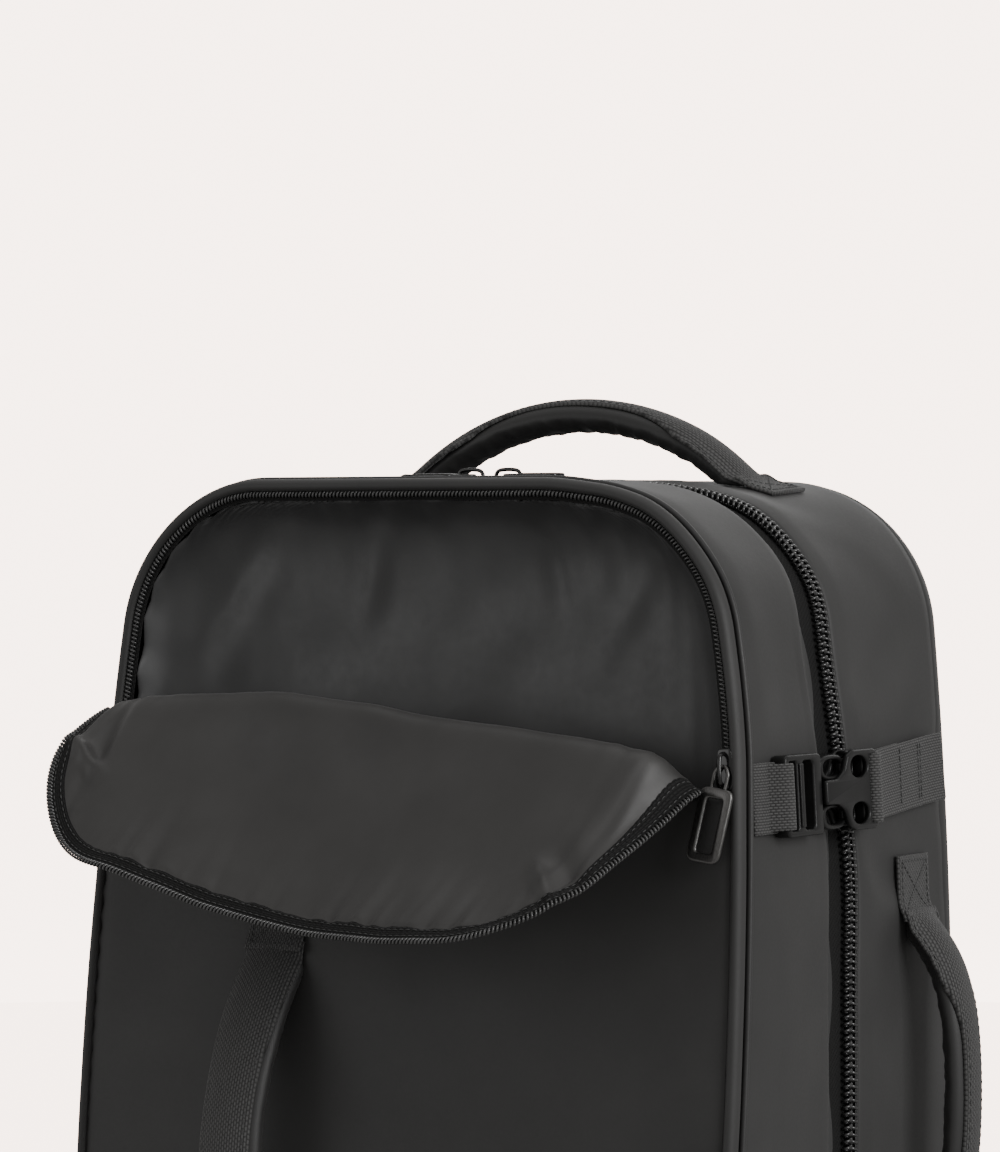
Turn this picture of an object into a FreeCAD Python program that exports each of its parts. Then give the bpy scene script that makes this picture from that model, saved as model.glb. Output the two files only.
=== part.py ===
"""Travel backpack, standing on its base: a front half with a zipped pocket and a rear half that
open like a book about a fabric hinge on the left side, closed by one long zip round the rest.

Millimetres. +Z is up, -Y is the front, +X is the right side seen from the front. The origin is
on the base's plane, on the closing plane of the main zip, midway between the two sides. The
pocket flap is modelled folded open, and the zips' sliders stand where they are parked.
"""
import FreeCAD
import Part
import math
import os
from FreeCAD import Matrix, Placement, Rotation, Vector

# ---- driving dimensions -------------------------------------------------------------------
HEIGHT = 450.0            # base to top, without the handle
HALF_WIDTH_ENDS = 125.5   # half the width at the base and at the top
HALF_WIDTH_MIDDLE = 138.5  # half the width where the sides bulge most
BULGE_HEIGHT = 210.0      # where the sides bulge most
TOP_CORNER = 58.0         # corner radii of the outline seen from the front
BASE_CORNER = 34.0
WALL = 3.0                # padded shell fabric
ZIP_GAP = 4.0             # each shell stops this far from the closing plane

FRONT_AT_BASE = -90.0     # the front face bellies out, then leans back in a straight slope
FRONT_AT_BELLY = -103.5
BELLY_HEIGHT = 135.0
FRONT_SLOPE = 0.1
FRONT_EDGE_RADIUS = 4.0
PIPING_START = 5.0        # the piping's band, measured back from the front face
PIPING_END = 10.0
PIPING_PROUD = 2.0

BACK = 97.0
BACK_EDGE_RADIUS = 18.0
BACK_SEAM = 78.0

FOLD_LEFT = 365.0         # height of the pocket flap's slanting fold line at its two ends
FOLD_RIGHT = 340.0
FOLD_SPAN = 250.0         # between those two ends
FLAP_OPEN_ANGLE = 125.0
POCKET_DEPTH = 26.0       # front face to the divider behind the pocket
LINING = 2.0

WEBBING = 25.0            # strap width
WEBBING_THICK = 1.6
CLEAR = 0.35              # free play between pieces that move past each other

STRAP_HEIGHT = 338.5      # centre line of the side compression strap
HINGE_X = -141.5          # vertical axis that the front half opens about
PARTS = "parts"


# ---- helpers ------------------------------------------------------------------------------
def save(name, *solids):
    """Writes one node, made of one or more solids."""
    clean = []
    for item in solids:
        clean += item.Solids
    shape = clean[0] if len(clean) == 1 else Part.makeCompound(clean)
    if not shape.isValid():
        print("not valid:", name)
    shape.exportStep(os.path.join(PARTS, name + ".step"))
    made[name] = shape


def box(x0, x1, y0, y1, z0, z1):
    return Part.makeBox(x1 - x0, y1 - y0, z1 - z0, Vector(x0, y0, z0))


def prism_of(points, direction):
    """A straight extrusion of a closed polygon of points."""
    wire = Part.makePolygon([Vector(*p) for p in points] + [Vector(*points[0])])
    return Part.Face(wire).extrude(Vector(*direction))


def mirrored(shape):
    return shape.mirror(Vector(0, 0, 0), Vector(1, 0, 0))


def frame_at(origin, along, outward):
    """A placement whose local X runs along, local Y outward and local Z across."""
    u = Vector(*along).normalize()
    across = u.cross(Vector(*outward)).normalize()
    v = across.cross(u).normalize()
    o = Vector(*origin)
    rows = (u.x, v.x, across.x, o.x, u.y, v.y, across.y, o.y, u.z, v.z, across.z, o.z, 0, 0, 0, 1)
    return Placement(Matrix(*rows))


def placed(shape, placement):
    moved = shape.copy()
    moved.Placement = placement.multiply(moved.Placement)
    return moved


def turned(shape, degrees, origin, axis):
    """A copy of shape turned about an axis through origin."""
    moved = shape.copy()
    moved.rotate(Vector(*origin), Vector(*axis), degrees)
    return moved


# ---- the bag's outline and its front face ---------------------------------------------------
SIDE_CIRCLE = Part.Arc(Vector(HALF_WIDTH_ENDS, 0, 0), Vector(HALF_WIDTH_MIDDLE, 0, BULGE_HEIGHT),
                       Vector(HALF_WIDTH_ENDS, 0, HEIGHT)).toShape().Curve


def side_x(z, grow=0.0):
    """Half width of the outline grown by grow, at height z, and its slope dx/dz there."""
    rise = z - SIDE_CIRCLE.Center.z
    reach = math.sqrt((SIDE_CIRCLE.Radius + grow) ** 2 - rise ** 2)
    return SIDE_CIRCLE.Center.x + reach, -rise / reach


def outline_prism(grow, y0, y1):
    """The outline seen from the front, grown by grow all round, from y0 to y1."""
    low, high = -grow, HEIGHT + grow
    low_half, middle, high_half = (side_x(z, grow)[0] for z in (low, BULGE_HEIGHT, high))
    low_right, high_right = Vector(low_half, y0, low), Vector(high_half, y0, high)
    low_left, high_left = Vector(-low_half, y0, low), Vector(-high_half, y0, high)
    right = Part.Arc(low_right, Vector(middle, y0, BULGE_HEIGHT), high_right).toShape()
    left = Part.Arc(high_left, Vector(-middle, y0, BULGE_HEIGHT), low_left).toShape()
    base = Part.LineSegment(low_left, low_right).toShape()
    top = Part.LineSegment(high_right, high_left).toShape()
    solid = Part.Face(Part.Wire([base, right, top, left])).extrude(Vector(0, y1 - y0, 0))

    def corner_edges(height):
        return [e for e in solid.Edges if abs(e.BoundBox.ZMax - height) < 0.01
                and e.BoundBox.ZLength < 0.01 and e.BoundBox.XLength < 0.01]

    solid = solid.makeFillet(TOP_CORNER + grow, corner_edges(high))
    return solid.makeFillet(BASE_CORNER + grow, corner_edges(low))


BELLY = FRONT_AT_BASE - FRONT_AT_BELLY
BELLY_RADIUS = (BELLY ** 2 + BELLY_HEIGHT ** 2) / (2 * BELLY)
BELLY_CENTRE = FRONT_AT_BELLY + BELLY_RADIUS
SLOPE_ANGLE = math.atan(FRONT_SLOPE)
SLOPE_START = BELLY_HEIGHT + BELLY_RADIUS * math.sin(SLOPE_ANGLE)


def front_y(z):
    """Depth of the front face at height z: an arc, then its tangent."""
    arc_z = min(z, SLOPE_START)
    on_arc = BELLY_CENTRE - math.sqrt(BELLY_RADIUS ** 2 - (arc_z - BELLY_HEIGHT) ** 2)
    return on_arc + FRONT_SLOPE * (z - arc_z)


def behind_front(offset, y_end=60.0):
    """All the space further back than the front face moved back by offset."""
    low, high = -20.0, HEIGHT + 40.0

    def on_face(z):
        return Vector(-200, front_y(z) + offset, z)

    edges = [Part.Arc(on_face(low), on_face(BELLY_HEIGHT), on_face(SLOPE_START)).toShape(),
             Part.LineSegment(on_face(SLOPE_START), on_face(high)).toShape(),
             Part.LineSegment(on_face(high), Vector(-200, y_end, high)).toShape(),
             Part.LineSegment(Vector(-200, y_end, high), Vector(-200, y_end, low)).toShape(),
             Part.LineSegment(Vector(-200, y_end, low), on_face(low)).toShape()]
    return Part.Face(Part.Wire(edges)).extrude(Vector(400, 0, 0))


def front_block(inset, y_end):
    """The front half as a solid, inset all round, up to y_end, with its front edge rounded."""
    solid = outline_prism(-inset, -150.0, y_end).common(behind_front(inset)).Solids[0]
    front_faces = [f for f in solid.Faces if abs(f.normalAt(0, 0).y) > 0.9 and f.CenterOfMass.y < -50]
    edges = [e for f in front_faces for e in f.Edges]
    rim = [e for e in edges if sum(e.isSame(other) for other in edges) == 1]
    return solid.makeFillet(max(FRONT_EDGE_RADIUS - inset, 1.0), rim)


def rear_block(inset, y_start):
    """The rear half as a solid, inset all round, from y_start, with its back edge rounded."""
    solid = outline_prism(-inset, y_start, BACK - inset)
    faces = sorted(solid.Faces, key=lambda f: f.CenterOfMass.y)
    return solid.makeFillet(BACK_EDGE_RADIUS - inset, faces[-1].OuterWire.Edges)


def between(near, far):
    """The slab of space between two copies of the front face."""
    return behind_front(near).cut(behind_front(far))


def outline_ring(grow_out, grow_in, y0, y1):
    return outline_prism(grow_out, y0, y1).cut(outline_prism(grow_in, y0 - 1, y1 + 1))


# ---- front half ---------------------------------------------------------------------------
POCKET_EDGE = 5.4         # the pocket opening's distance in from the outline
TAPE = 1.6                # zip tape showing between the fabric and the chain
CHAIN = 2.0               # width of one side of the pocket zip's chain
CHAIN_GAP = 1.6           # between the two sides when the pocket is shut
FIXED_CHAIN = POCKET_EDGE + TAPE + CHAIN
FLAP_CHAIN = FIXED_CHAIN + CHAIN_GAP
FLAP_EDGE = FLAP_CHAIN + CHAIN + TAPE
FLAP_CHAIN_START = 32.0   # the flap's chain starts this far above the fold, clear of the swinging pull


def above_fold(lift=0.0):
    """All the space that lies further up than the fold line moved up by lift."""
    middle = (FOLD_LEFT + FOLD_RIGHT) / 2
    slant = math.degrees(math.atan2(FOLD_LEFT - FOLD_RIGHT, FOLD_SPAN))
    return turned(box(-250, 250, -200, 200, middle + lift, HEIGHT + 100), slant, (0, 0, middle), (0, 1, 0))


def pocket_chain(outer, inner, teeth_outer, teeth_inner):
    """One side of the pocket zip: a thin tape with a thicker row of teeth along one edge."""
    tape = outline_ring(-outer, -inner, -130, -20).common(between(1.5, 2.1))
    teeth = outline_ring(-teeth_outer, -teeth_inner, -130, -20).common(between(0.8, 2.8))
    return tape.fuse(teeth)


def make_front_half():
    shell = front_block(0.0, -ZIP_GAP).cut(front_block(WALL, 20.0))
    opening = outline_prism(-POCKET_EDGE, -150, -40).common(above_fold())
    save("front_panel", shell.common(between(-5.0, PIPING_START)).cut(opening))
    save("front_gusset", shell.common(behind_front(PIPING_END)))
    ring = outline_ring(PIPING_PROUD, -WALL, -120, -20)
    on_floor = box(-200, 200, -200, 200, 0, HEIGHT + 60)
    save("front_piping", ring.common(between(PIPING_START, PIPING_END)).common(on_floor))
    inside = outline_prism(-WALL - 0.05, -120, -20)
    save("pocket_divider", inside.common(between(POCKET_DEPTH, POCKET_DEPTH + LINING)))
    chain = pocket_chain(POCKET_EDGE, FIXED_CHAIN, FIXED_CHAIN - CHAIN, FIXED_CHAIN)
    save("pocket_zip_fixed_chain", chain.common(above_fold(1.0)))


def fold_axis():
    """A point on the flap's fold line and the line's direction."""
    left = Vector(-FOLD_SPAN / 2, front_y(FOLD_LEFT), FOLD_LEFT)
    right = Vector(FOLD_SPAN / 2, front_y(FOLD_RIGHT), FOLD_RIGHT)
    return (left + right) * 0.5, (right - left).normalize()


def make_flap():
    """The flap is cut from the front face where it closes, then turned open about its fold."""
    def opened(shape):
        return turned(shape, FLAP_OPEN_ANGLE, *fold_axis())

    skin = outline_prism(-FLAP_EDGE, -150, -20).common(between(0.0, WALL))
    save("pocket_flap", opened(skin.common(above_fold(2.5))))
    chain = pocket_chain(FLAP_CHAIN, FLAP_EDGE - 0.02, FLAP_CHAIN, FLAP_CHAIN + CHAIN)
    save("pocket_zip_flap_chain", opened(chain.common(above_fold(FLAP_CHAIN_START))))



# ---- rear half ----------------------------------------------------------------------------
PAD_THICK = 8.0


def rounded_box(x0, x1, y0, y1, z0, z1, radius):
    """A box whose four edges along Y are rounded."""
    solid = box(x0, x1, y0, y1, z0, z1)
    edges = [e for e in solid.Edges if e.BoundBox.XLength < 1e-6 and e.BoundBox.ZLength < 1e-6]
    return solid.makeFillet(radius, edges)


PAD_INNER, PAD_OUTER = 14.0, 98.0     # the two back pads, from the middle outward
PAD_LOW, PAD_HIGH = 110.0, 395.0
LUMBAR_LOW, LUMBAR_HIGH = 32.0, 100.0
PAD_CORNER = 16.0
BOARD = 1.6                           # the back's stiffening board, just inside the wall
BOARD_HALF, BOARD_LOW, BOARD_HIGH = 105.0, 30.0, 420.0
BASE_BOARD_HALF, BASE_BOARD_THICK = 88.0, 1.2
SLIP = 0.2                            # between a board and the wall it lies against
TAPE_FAR = 13.0                       # how far the main zip's tapes reach from the closing plane


def make_rear_half():
    shell = rear_block(0.0, ZIP_GAP).cut(rear_block(WALL, -20.0))
    save("rear_gusset", shell.common(box(-200, 200, -10, BACK_SEAM, -10, 480)))
    save("back_panel", shell.common(box(-200, 200, BACK_SEAM, 120, -10, 480)))
    inside = BACK - WALL - SLIP
    board = rounded_box(-BOARD_HALF, BOARD_HALF, inside - BOARD, inside, BOARD_LOW, BOARD_HIGH, 30)
    save("back_stiffener", board)
    floor = WALL + SLIP
    save("base_stiffener", box(-BASE_BOARD_HALF, BASE_BOARD_HALF, TAPE_FAR + 1, BACK_SEAM - 2,
                               floor, floor + BASE_BOARD_THICK))
    near, far = BACK + 0.1, BACK + PAD_THICK
    for side, mirror in (("right", False), ("left", True)):
        pad = rounded_box(PAD_INNER, PAD_OUTER, near, far, PAD_LOW, PAD_HIGH, PAD_CORNER)
        save("back_pad_" + side, mirrored(pad) if mirror else pad)
    save("lumbar_pad", rounded_box(-PAD_OUTER, PAD_OUTER, near, far, LUMBAR_LOW, LUMBAR_HIGH, PAD_CORNER))


SLEEVE_FRONT = 56.0
SLEEVE_THICK = 5.0
SLEEVE_HALF, SLEEVE_LOW, SLEEVE_HIGH = 112.0, 10.0, 330.0
SLEEVE_GUSSET = 3.0                   # thickness of the cloth at the laptop slot's two sides
SLEEVE_BACK = BACK - WALL - SLIP - BOARD - 0.4
LOCK_STRAP_LOW, LOCK_STRAP_HIGH = 250.0, 354.0
LOCK_STRAP_THICK = 2.0


def make_laptop_sleeve():
    """A padded wall and its two side gussets, with the laptop's slot behind it, and the strap
    that goes over the laptop's top."""
    wall = rounded_box(-SLEEVE_HALF, SLEEVE_HALF, SLEEVE_FRONT, SLEEVE_FRONT + SLEEVE_THICK,
                       SLEEVE_LOW, SLEEVE_HIGH, 12)
    save("laptop_sleeve", wall)
    near = SLEEVE_HALF + 1
    gusset = box(near, near + SLEEVE_GUSSET, SLEEVE_FRONT, SLEEVE_BACK, SLEEVE_LOW + 20, SLEEVE_HIGH - 10)
    save("laptop_gusset_right", gusset)
    save("laptop_gusset_left", mirrored(gusset))
    half, back = WEBBING / 2, SLEEVE_FRONT - 0.4
    front, over = back - LOCK_STRAP_THICK + SLIP, LOCK_STRAP_HIGH - LOCK_STRAP_THICK
    strap = box(-half, half, front, back, LOCK_STRAP_LOW, over)
    save("laptop_strap", strap.fuse(box(-half, half, front, SLEEVE_BACK, over, LOCK_STRAP_HIGH)))


# ---- main zip -----------------------------------------------------------------------------
ZIP_END_LOW, ZIP_END_HIGH = 45.0, 385.0   # the main zip's two ends on the left side
TAPE_IN, TAPE_OUT = -4.6, -3.6
COIL_IN, COIL_OUT = -3.5, -0.9
COIL_NEAR, COIL_FAR = 0.9, 3.7


def make_main_zip():
    """Tape and coil of each half, round the base, the right side and the top, and a fabric
    hinge between the zip's two ends on the left side."""
    left_side = box(-200, -100, -50, 50, ZIP_END_LOW, ZIP_END_HIGH)
    for name, sign in (("front", -1), ("rear", 1)):
        coil_y = sorted((sign * COIL_NEAR, sign * COIL_FAR))
        tape_y = sorted((sign * COIL_NEAR, sign * TAPE_FAR))
        coil = outline_ring(COIL_OUT, COIL_IN, *coil_y)
        tape = outline_ring(TAPE_OUT, TAPE_IN, *tape_y)
        save("main_zip_" + name + "_coil", coil.cut(left_side))
        save("main_zip_" + name + "_tape", tape.cut(left_side))
    hinge = outline_ring(-0.4, -1.6, -ZIP_GAP + CLEAR, ZIP_GAP)
    strip = box(-200, -100, -50, 50, ZIP_END_LOW + 2, ZIP_END_HIGH - 2)
    save("side_hinge_fabric", hinge.common(strip))


SLIDER_LONG = 15.0
SLIDER_HALF = 5.6
MAIN_SLIDER_LEFT, MAIN_SLIDER_RIGHT = -23.5, -7.0


def slider_body(half_width, chain_low, chain_high, web):
    """A zip slider in its own frame: X along the zip, Y out of the bag, Z across the chain.
    Two wings hold the chain between them and a thin web in the chain's gap joins them."""
    wing, end = 1.3, SLIDER_LONG / 2
    top = rounded_box(-end, end, chain_high, chain_high + wing, -half_width, half_width, 3)
    low = rounded_box(-end, end, chain_low - wing, chain_low, -half_width, half_width, 3)
    neck = box(-3, end - 1, chain_low - 0.1, chain_high + 0.1, -web, web)
    roof = chain_high + wing
    bridge = box(-5, 5, roof, roof + 4.2, -1.2, 1.2).cut(box(-3.4, 3.4, roof, roof + 2.8, -2, 2))
    return top.fuse([low, neck, bridge]), roof


def pull_tab(long, wide, thick, link):
    """A zip pull hanging along -X from the origin: a wire link, then a flat loop."""
    wire = 1.2
    ring = box(-link, wire, -wire / 2, wire / 2, -3.2, 3.2)
    ring = ring.cut(box(-link + wire, 0, -3, 3, -2.0, 2.0))
    loop = rounded_box(-link - long, -link, -thick / 2, thick / 2, -wide / 2, wide / 2, 2.6)
    slot = rounded_box(-link - long + 3.2, -link - 4.0, -3, 3, -wide / 2 + 3, wide / 2 - 3, 0.8)
    return ring, loop.cut(slot)


def make_main_sliders():
    """Two sliders nose to nose on the flat of the top, each with its pull laid outward."""
    for name, x, along in (("left", MAIN_SLIDER_LEFT, -1.0), ("right", MAIN_SLIDER_RIGHT, 1.0)):
        place = frame_at((x, 0, HEIGHT), (-along, 0, 0), (0, 0, 1))
        body, roof = slider_body(SLIDER_HALF, TAPE_IN - CLEAR, 0.3, 0.5)
        save("main_slider_" + name, placed(body, place))
        ring, loop = pull_tab(16.0, 9.0, 1.8, 7.0)
        pivot = Placement(Vector(0, roof + 1.4, 0), Rotation())
        save("main_pull_link_" + name, placed(placed(ring, pivot), place))
        save("main_pull_tab_" + name, placed(placed(loop, pivot), place))
        pivots["main_pull_" + name] = (x, 0.0, HEIGHT + roof + 1.4)


POCKET_SLIDER_Z = FOLD_RIGHT + 9.0
POCKET_SLIDER_TRAVEL = 32.0


def make_pocket_slider():
    """The pocket zip's slider, parked at the fold on the right, and its pull hanging down."""
    z = POCKET_SLIDER_Z
    x, x_slope = side_x(z + POCKET_SLIDER_TRAVEL / 2)
    x -= x_slope * POCKET_SLIDER_TRAVEL / 2
    middle = FIXED_CHAIN + CHAIN_GAP / 2
    place = frame_at((x - middle, front_y(z) + 1.8, z), (x_slope, FRONT_SLOPE, 1.0), (0, -1, 0))
    body, roof = slider_body(3.6, -1.35, 1.35, 0.45)
    save("pocket_slider", placed(body, place))
    ring, loop = pull_tab(24.0, 10.0, 2.2, 8.0)
    pivot = Placement(Vector(0, roof + 1.4, 0), Rotation(Vector(0, 0, 1), -6.0))
    loop = loop.translated(Vector(0, 0, 1.5))
    save("pocket_pull_link", placed(placed(ring, pivot), place))
    save("pocket_pull_tab", placed(placed(loop, pivot), place))
    pivots["pocket_pull"] = tuple(place.multVec(Vector(0, roof + 1.4, 0)))
    pivots["pocket_slider_axis"] = tuple(place.Rotation.multVec(Vector(1, 0, 0)))
    pivots["pocket_pull_axis"] = tuple(place.Rotation.multVec(Vector(0, 0, 1)))


# ---- handles ------------------------------------------------------------------------------
HANDLE_HALF_WEB = 10.0
HANDLE_START = 6.2        # the swinging part's height over the surface at its ends


def arc_sector(section, radius, half_angle):
    """section, a face in the X = 0 plane, revolved both ways about the arc's centre."""
    low = turned(section, math.degrees(half_angle), (0, -radius, 0), (0, 0, 1))
    return low.revolve(Vector(0, -radius, 0), Vector(0, 0, 1), -2 * math.degrees(half_angle))


def make_handle(name, place, half_span, rise, tube, patch_drop):
    """A padded grip under an arched webbing, in a local frame: X along the span, Y outward.
    The stitched ends are wedges that stay on the bag; patch_drop bends them over a corner."""
    arch = rise - WEBBING_THICK / 2
    sag = arch - HANDLE_START
    radius = (half_span ** 2 + sag ** 2) / (2 * sag)
    half_angle = math.asin((half_span - CLEAR) / (radius + WEBBING_THICK / 2))
    centre = Vector(0, arch, 0)
    web = box(-1e-3, 0, -WEBBING_THICK / 2, WEBBING_THICK / 2, -HANDLE_HALF_WEB, HANDLE_HALF_WEB)
    section = [f for f in web.Faces if abs(f.CenterOfMass.x) < 1e-6][0]
    webbing = arc_sector(section, radius, half_angle)
    grip_drop = WEBBING_THICK / 2 + 0.05 + tube
    circle = Part.Face(Part.Wire(Part.makeCircle(tube, Vector(0, -grip_drop, 0), Vector(1, 0, 0))))
    grip_radius = radius - grip_drop
    low_height = tube + 2.5
    grip_angle = math.acos(1 - (arch - grip_drop - low_height) / grip_radius)
    grip = arc_sector(circle, radius, grip_angle)
    shift = Placement(centre, Rotation())
    save(name + "_webbing", placed(placed(webbing, shift), place))
    save(name + "_grip", placed(placed(grip, shift), place))
    wedge = [(half_span, 0.15), (half_span + 20, 0.15 - patch_drop), (half_span + 20, 1.8 - patch_drop),
             (half_span + 6, 2.6 - patch_drop * 0.2), (half_span, HANDLE_START + 1)]
    ends = []
    for sign in (1, -1):
        points = [(sign * u, v, -WEBBING / 2) for u, v in wedge]
        ends.append(prism_of(points, (0, 0, WEBBING)))
    return [placed(e, place) for e in ends]


TOP_HANDLE_Y = 44.0
SIDE_HANDLE_Y, SIDE_HANDLE_Z = 50.0, 225.0
FRONT_HANDLE_X, FRONT_HANDLE_Z = -51.0, 205.0


def make_handles():
    top = frame_at((0, TOP_HANDLE_Y, HEIGHT), (1, 0, 0), (0, 0, 1))
    ends = make_handle("top_handle", top, 76.0, 33.0, 6.5, 0.0)
    shell = outline_prism(0.0, ZIP_GAP, BACK)
    save("top_handle_ends", *[e.cut(shell) for e in ends])
    side_reach, _ = side_x(SIDE_HANDLE_Z)
    side = frame_at((side_reach, SIDE_HANDLE_Y, SIDE_HANDLE_Z), (0, 0, 1), (1, 0, 0))
    ends = make_handle("side_handle", side, 65.0, 26.0, 5.5, 1.2)
    save("side_handle_ends", *[e.cut(shell) for e in ends])
    y = front_y(FRONT_HANDLE_Z)
    front = frame_at((FRONT_HANDLE_X, y, FRONT_HANDLE_Z), (0, FRONT_SLOPE, 1), (0, -1, 0))
    ends = make_handle("front_handle", front, 76.0, 34.0, 7.0, 1.6)
    body = front_block(0.0, -ZIP_GAP)
    save("front_handle_ends", *[e.cut(body) for e in ends])


# ---- side compression strap and its buckle --------------------------------------------------
# The buckle's frame: u runs towards the back, v out of the bag, w up. The closing plane is u = 0.
BUCKLE_HALF = 15.5
BUCKLE_LOW, BUCKLE_HIGH = 2.0, 10.0
MALE_END, MALE_NOSE = -60.0, -32.5
FEMALE_END = 8.0
PRONG_REACH = 24.0
PRONG_LOW, PRONG_THICK = 5.3, 2.7   # nearer the sleeve's outer wall, for the arc it leaves on
SLOT_HALF = BUCKLE_HALF - 2.5       # half height of the slots for the webbing
SLEEVE_WALL = 1.6                   # the female half's outer and inner walls


def slot_for_webbing(u0, u1):
    return box(u0, u1, 0, 20, -SLOT_HALF, SLOT_HALF)


def rounded_frame(u0, u1, low, high, radius):
    solid = box(u0, u1, low, high, -BUCKLE_HALF, BUCKLE_HALF)
    edges = [e for e in solid.Edges if e.BoundBox.XLength < 1e-6 and e.BoundBox.ZLength < 1e-6]
    return solid.makeFillet(radius, edges)


def buckle_male():
    """Frame with a ladder bar for the webbing, a centre guide and two side prongs."""
    frame = rounded_frame(MALE_END, MALE_NOSE, BUCKLE_LOW + 0.6, BUCKLE_HIGH - 0.6, 3.0)
    frame = frame.cut(slot_for_webbing(MALE_END + 3, MALE_END + 9))
    frame = frame.cut(slot_for_webbing(MALE_END + 13, MALE_NOSE - 6))
    nose = MALE_NOSE + PRONG_REACH
    guide = box(MALE_NOSE - 1, nose - 8, PRONG_LOW, PRONG_LOW + PRONG_THICK, -1.6, 1.6)
    prongs = []
    for sign in (1, -1):
        outline = [(MALE_NOSE - 1, sign * 13.5), (nose - 10, sign * 12.6), (nose - 8, sign * 13.9),
                   (nose - 2, sign * 12.4), (nose, sign * 9.0), (nose - 4, sign * 8.2),
                   (nose - 12, sign * 9.8), (MALE_NOSE - 1, sign * 10.2)]
        prongs.append(prism_of([(u, PRONG_LOW, w) for u, w in outline], (0, PRONG_THICK, 0)))
    return frame.fuse([guide] + prongs)


def buckle_female():
    """Sleeve open at its mouth, with two windows in each side and a webbing bar at its far end."""
    start = MALE_NOSE + CLEAR
    body = rounded_frame(start, FEMALE_END, BUCKLE_LOW, BUCKLE_HIGH, 2.5)
    inner_half = BUCKLE_HALF - 1.1
    body = body.cut(box(start - 1, start + PRONG_REACH + 2, BUCKLE_LOW + SLEEVE_WALL,
                        BUCKLE_HIGH - SLEEVE_WALL, -inner_half, inner_half))
    for sign in (1, -1):
        for u, w, radius in ((start + 7.5, 9.2, 4.6), (start + 19.0, 8.8, 5.4)):
            body = body.cut(Part.makeCylinder(radius, 30, Vector(u, -5, sign * w), Vector(0, 1, 0)))
    return body.cut(slot_for_webbing(FEMALE_END - 6.2, FEMALE_END - 2.6))


def make_compression_strap():
    """The webbing starts behind the front piping and ends in the back seam."""
    half = WEBBING / 2
    reach, slope = side_x(STRAP_HEIGHT)
    place = frame_at((reach + 0.3, 0, STRAP_HEIGHT), (0, 1, 0), (1, 0, -slope))
    low, high = 0.1, 0.1 + WEBBING_THICK
    start = front_y(STRAP_HEIGHT + half) + PIPING_END + 0.3
    front_web = box(start, MALE_NOSE - 3, low, high, -half, half)
    save("compression_webbing_front", placed(front_web, place))
    save("buckle_male", placed(buckle_male(), place))
    save("buckle_female", placed(buckle_female(), place))
    leaves, end = 5.4, BACK_SEAM - 4
    side = [(FEMALE_END, leaves), (FEMALE_END, leaves + WEBBING_THICK), (end, high), (end, low)]
    rear_web = prism_of([(u, v, -half) for u, v in side], (0, 0, WEBBING))
    save("compression_webbing_rear", placed(rear_web, place))


# ---- shoulder straps ------------------------------------------------------------------------
STRAP_TOP_Z, STRAP_END_Z = 402.0, 150.0
STRAP_FRONT = BACK + PAD_THICK + 0.6
STRAP_THICK = 12.0
ANCHOR_Z = 42.0
LOWER_WEB = 20.0


def strap_side(z, edge):
    """Half outline of a shoulder strap: its centre line swings out as it goes down."""
    share = (STRAP_TOP_Z - z) / (STRAP_TOP_Z - STRAP_END_Z)
    centre = 42.0 + 26.0 * math.sin(share * math.pi / 2)
    half = 31.0 - 10.0 * share
    return centre + edge * half


STRAP_CURVE_POINTS = 7
LOCK_HALF, LOCK_LOW, LOCK_HIGH = 14.0, 118.0, 142.0   # the ladder lock under each strap's end
LOCK_SLOT_HALF, LOCK_SLOT = 11.0, 4.0
LOWER_WEB_TOP = 111.8
ANCHOR_X = 108.0
YOKE_INNER, YOKE_OUTER, YOKE_LOW, YOKE_HIGH = 14.0, 72.0, 404.0, 424.0


def shoulder_pad():
    """The right strap's padded part, lying against the back pads."""
    step = (STRAP_TOP_Z - STRAP_END_Z) / (STRAP_CURVE_POINTS - 1)
    heights = [STRAP_TOP_Z - step * i for i in range(STRAP_CURVE_POINTS)]
    sides = []
    for edge in (-1, 1):
        curve = Part.BSplineCurve()
        curve.interpolate([Vector(strap_side(z, edge), STRAP_FRONT, z) for z in heights])
        sides.append(curve)
    inner, outer = sides
    ends = [Part.LineSegment(inner.EndPoint, outer.EndPoint),
            Part.LineSegment(outer.StartPoint, inner.StartPoint)]
    edges = Part.__sortEdges__([shape.toShape() for shape in sides + ends])
    return Part.Face(Part.Wire(edges)).extrude(Vector(0, STRAP_THICK, 0))


def ladder_lock(x):
    lock = box(x - LOCK_HALF, x + LOCK_HALF, STRAP_FRONT + 2.4, STRAP_FRONT + 7, LOCK_LOW, LOCK_HIGH)
    for z in (LOCK_LOW + 3, LOCK_LOW + 15):
        lock = lock.cut(box(x - LOCK_SLOT_HALF, x + LOCK_SLOT_HALF, 0, 200, z, z + LOCK_SLOT))
    return lock


def lower_webbing(x):
    """From below the ladder lock down and out to the anchor at the bag's corner."""
    start, end = Vector(x, 0, LOWER_WEB_TOP), Vector(ANCHOR_X, 0, ANCHOR_Z + 12)
    run = (end - start).normalize()
    cross = Vector(run.z, 0, -run.x) * (LOWER_WEB / 2)
    corners = [start + cross, end + cross, end - cross, start - cross]
    return prism_of([(p.x, STRAP_FRONT + 3.2, p.z) for p in corners], (0, WEBBING_THICK, 0))


def strap_anchor():
    corners = [(ANCHOR_X - 16, ANCHOR_Z - 16), (ANCHOR_X + 12, ANCHOR_Z - 6),
               (ANCHOR_X + 14, ANCHOR_Z + 12), (ANCHOR_X - 8, ANCHOR_Z + 11)]
    return prism_of([(x, BACK + PAD_THICK + 0.2, z) for x, z in corners], (0, 3.0, 0))


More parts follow.
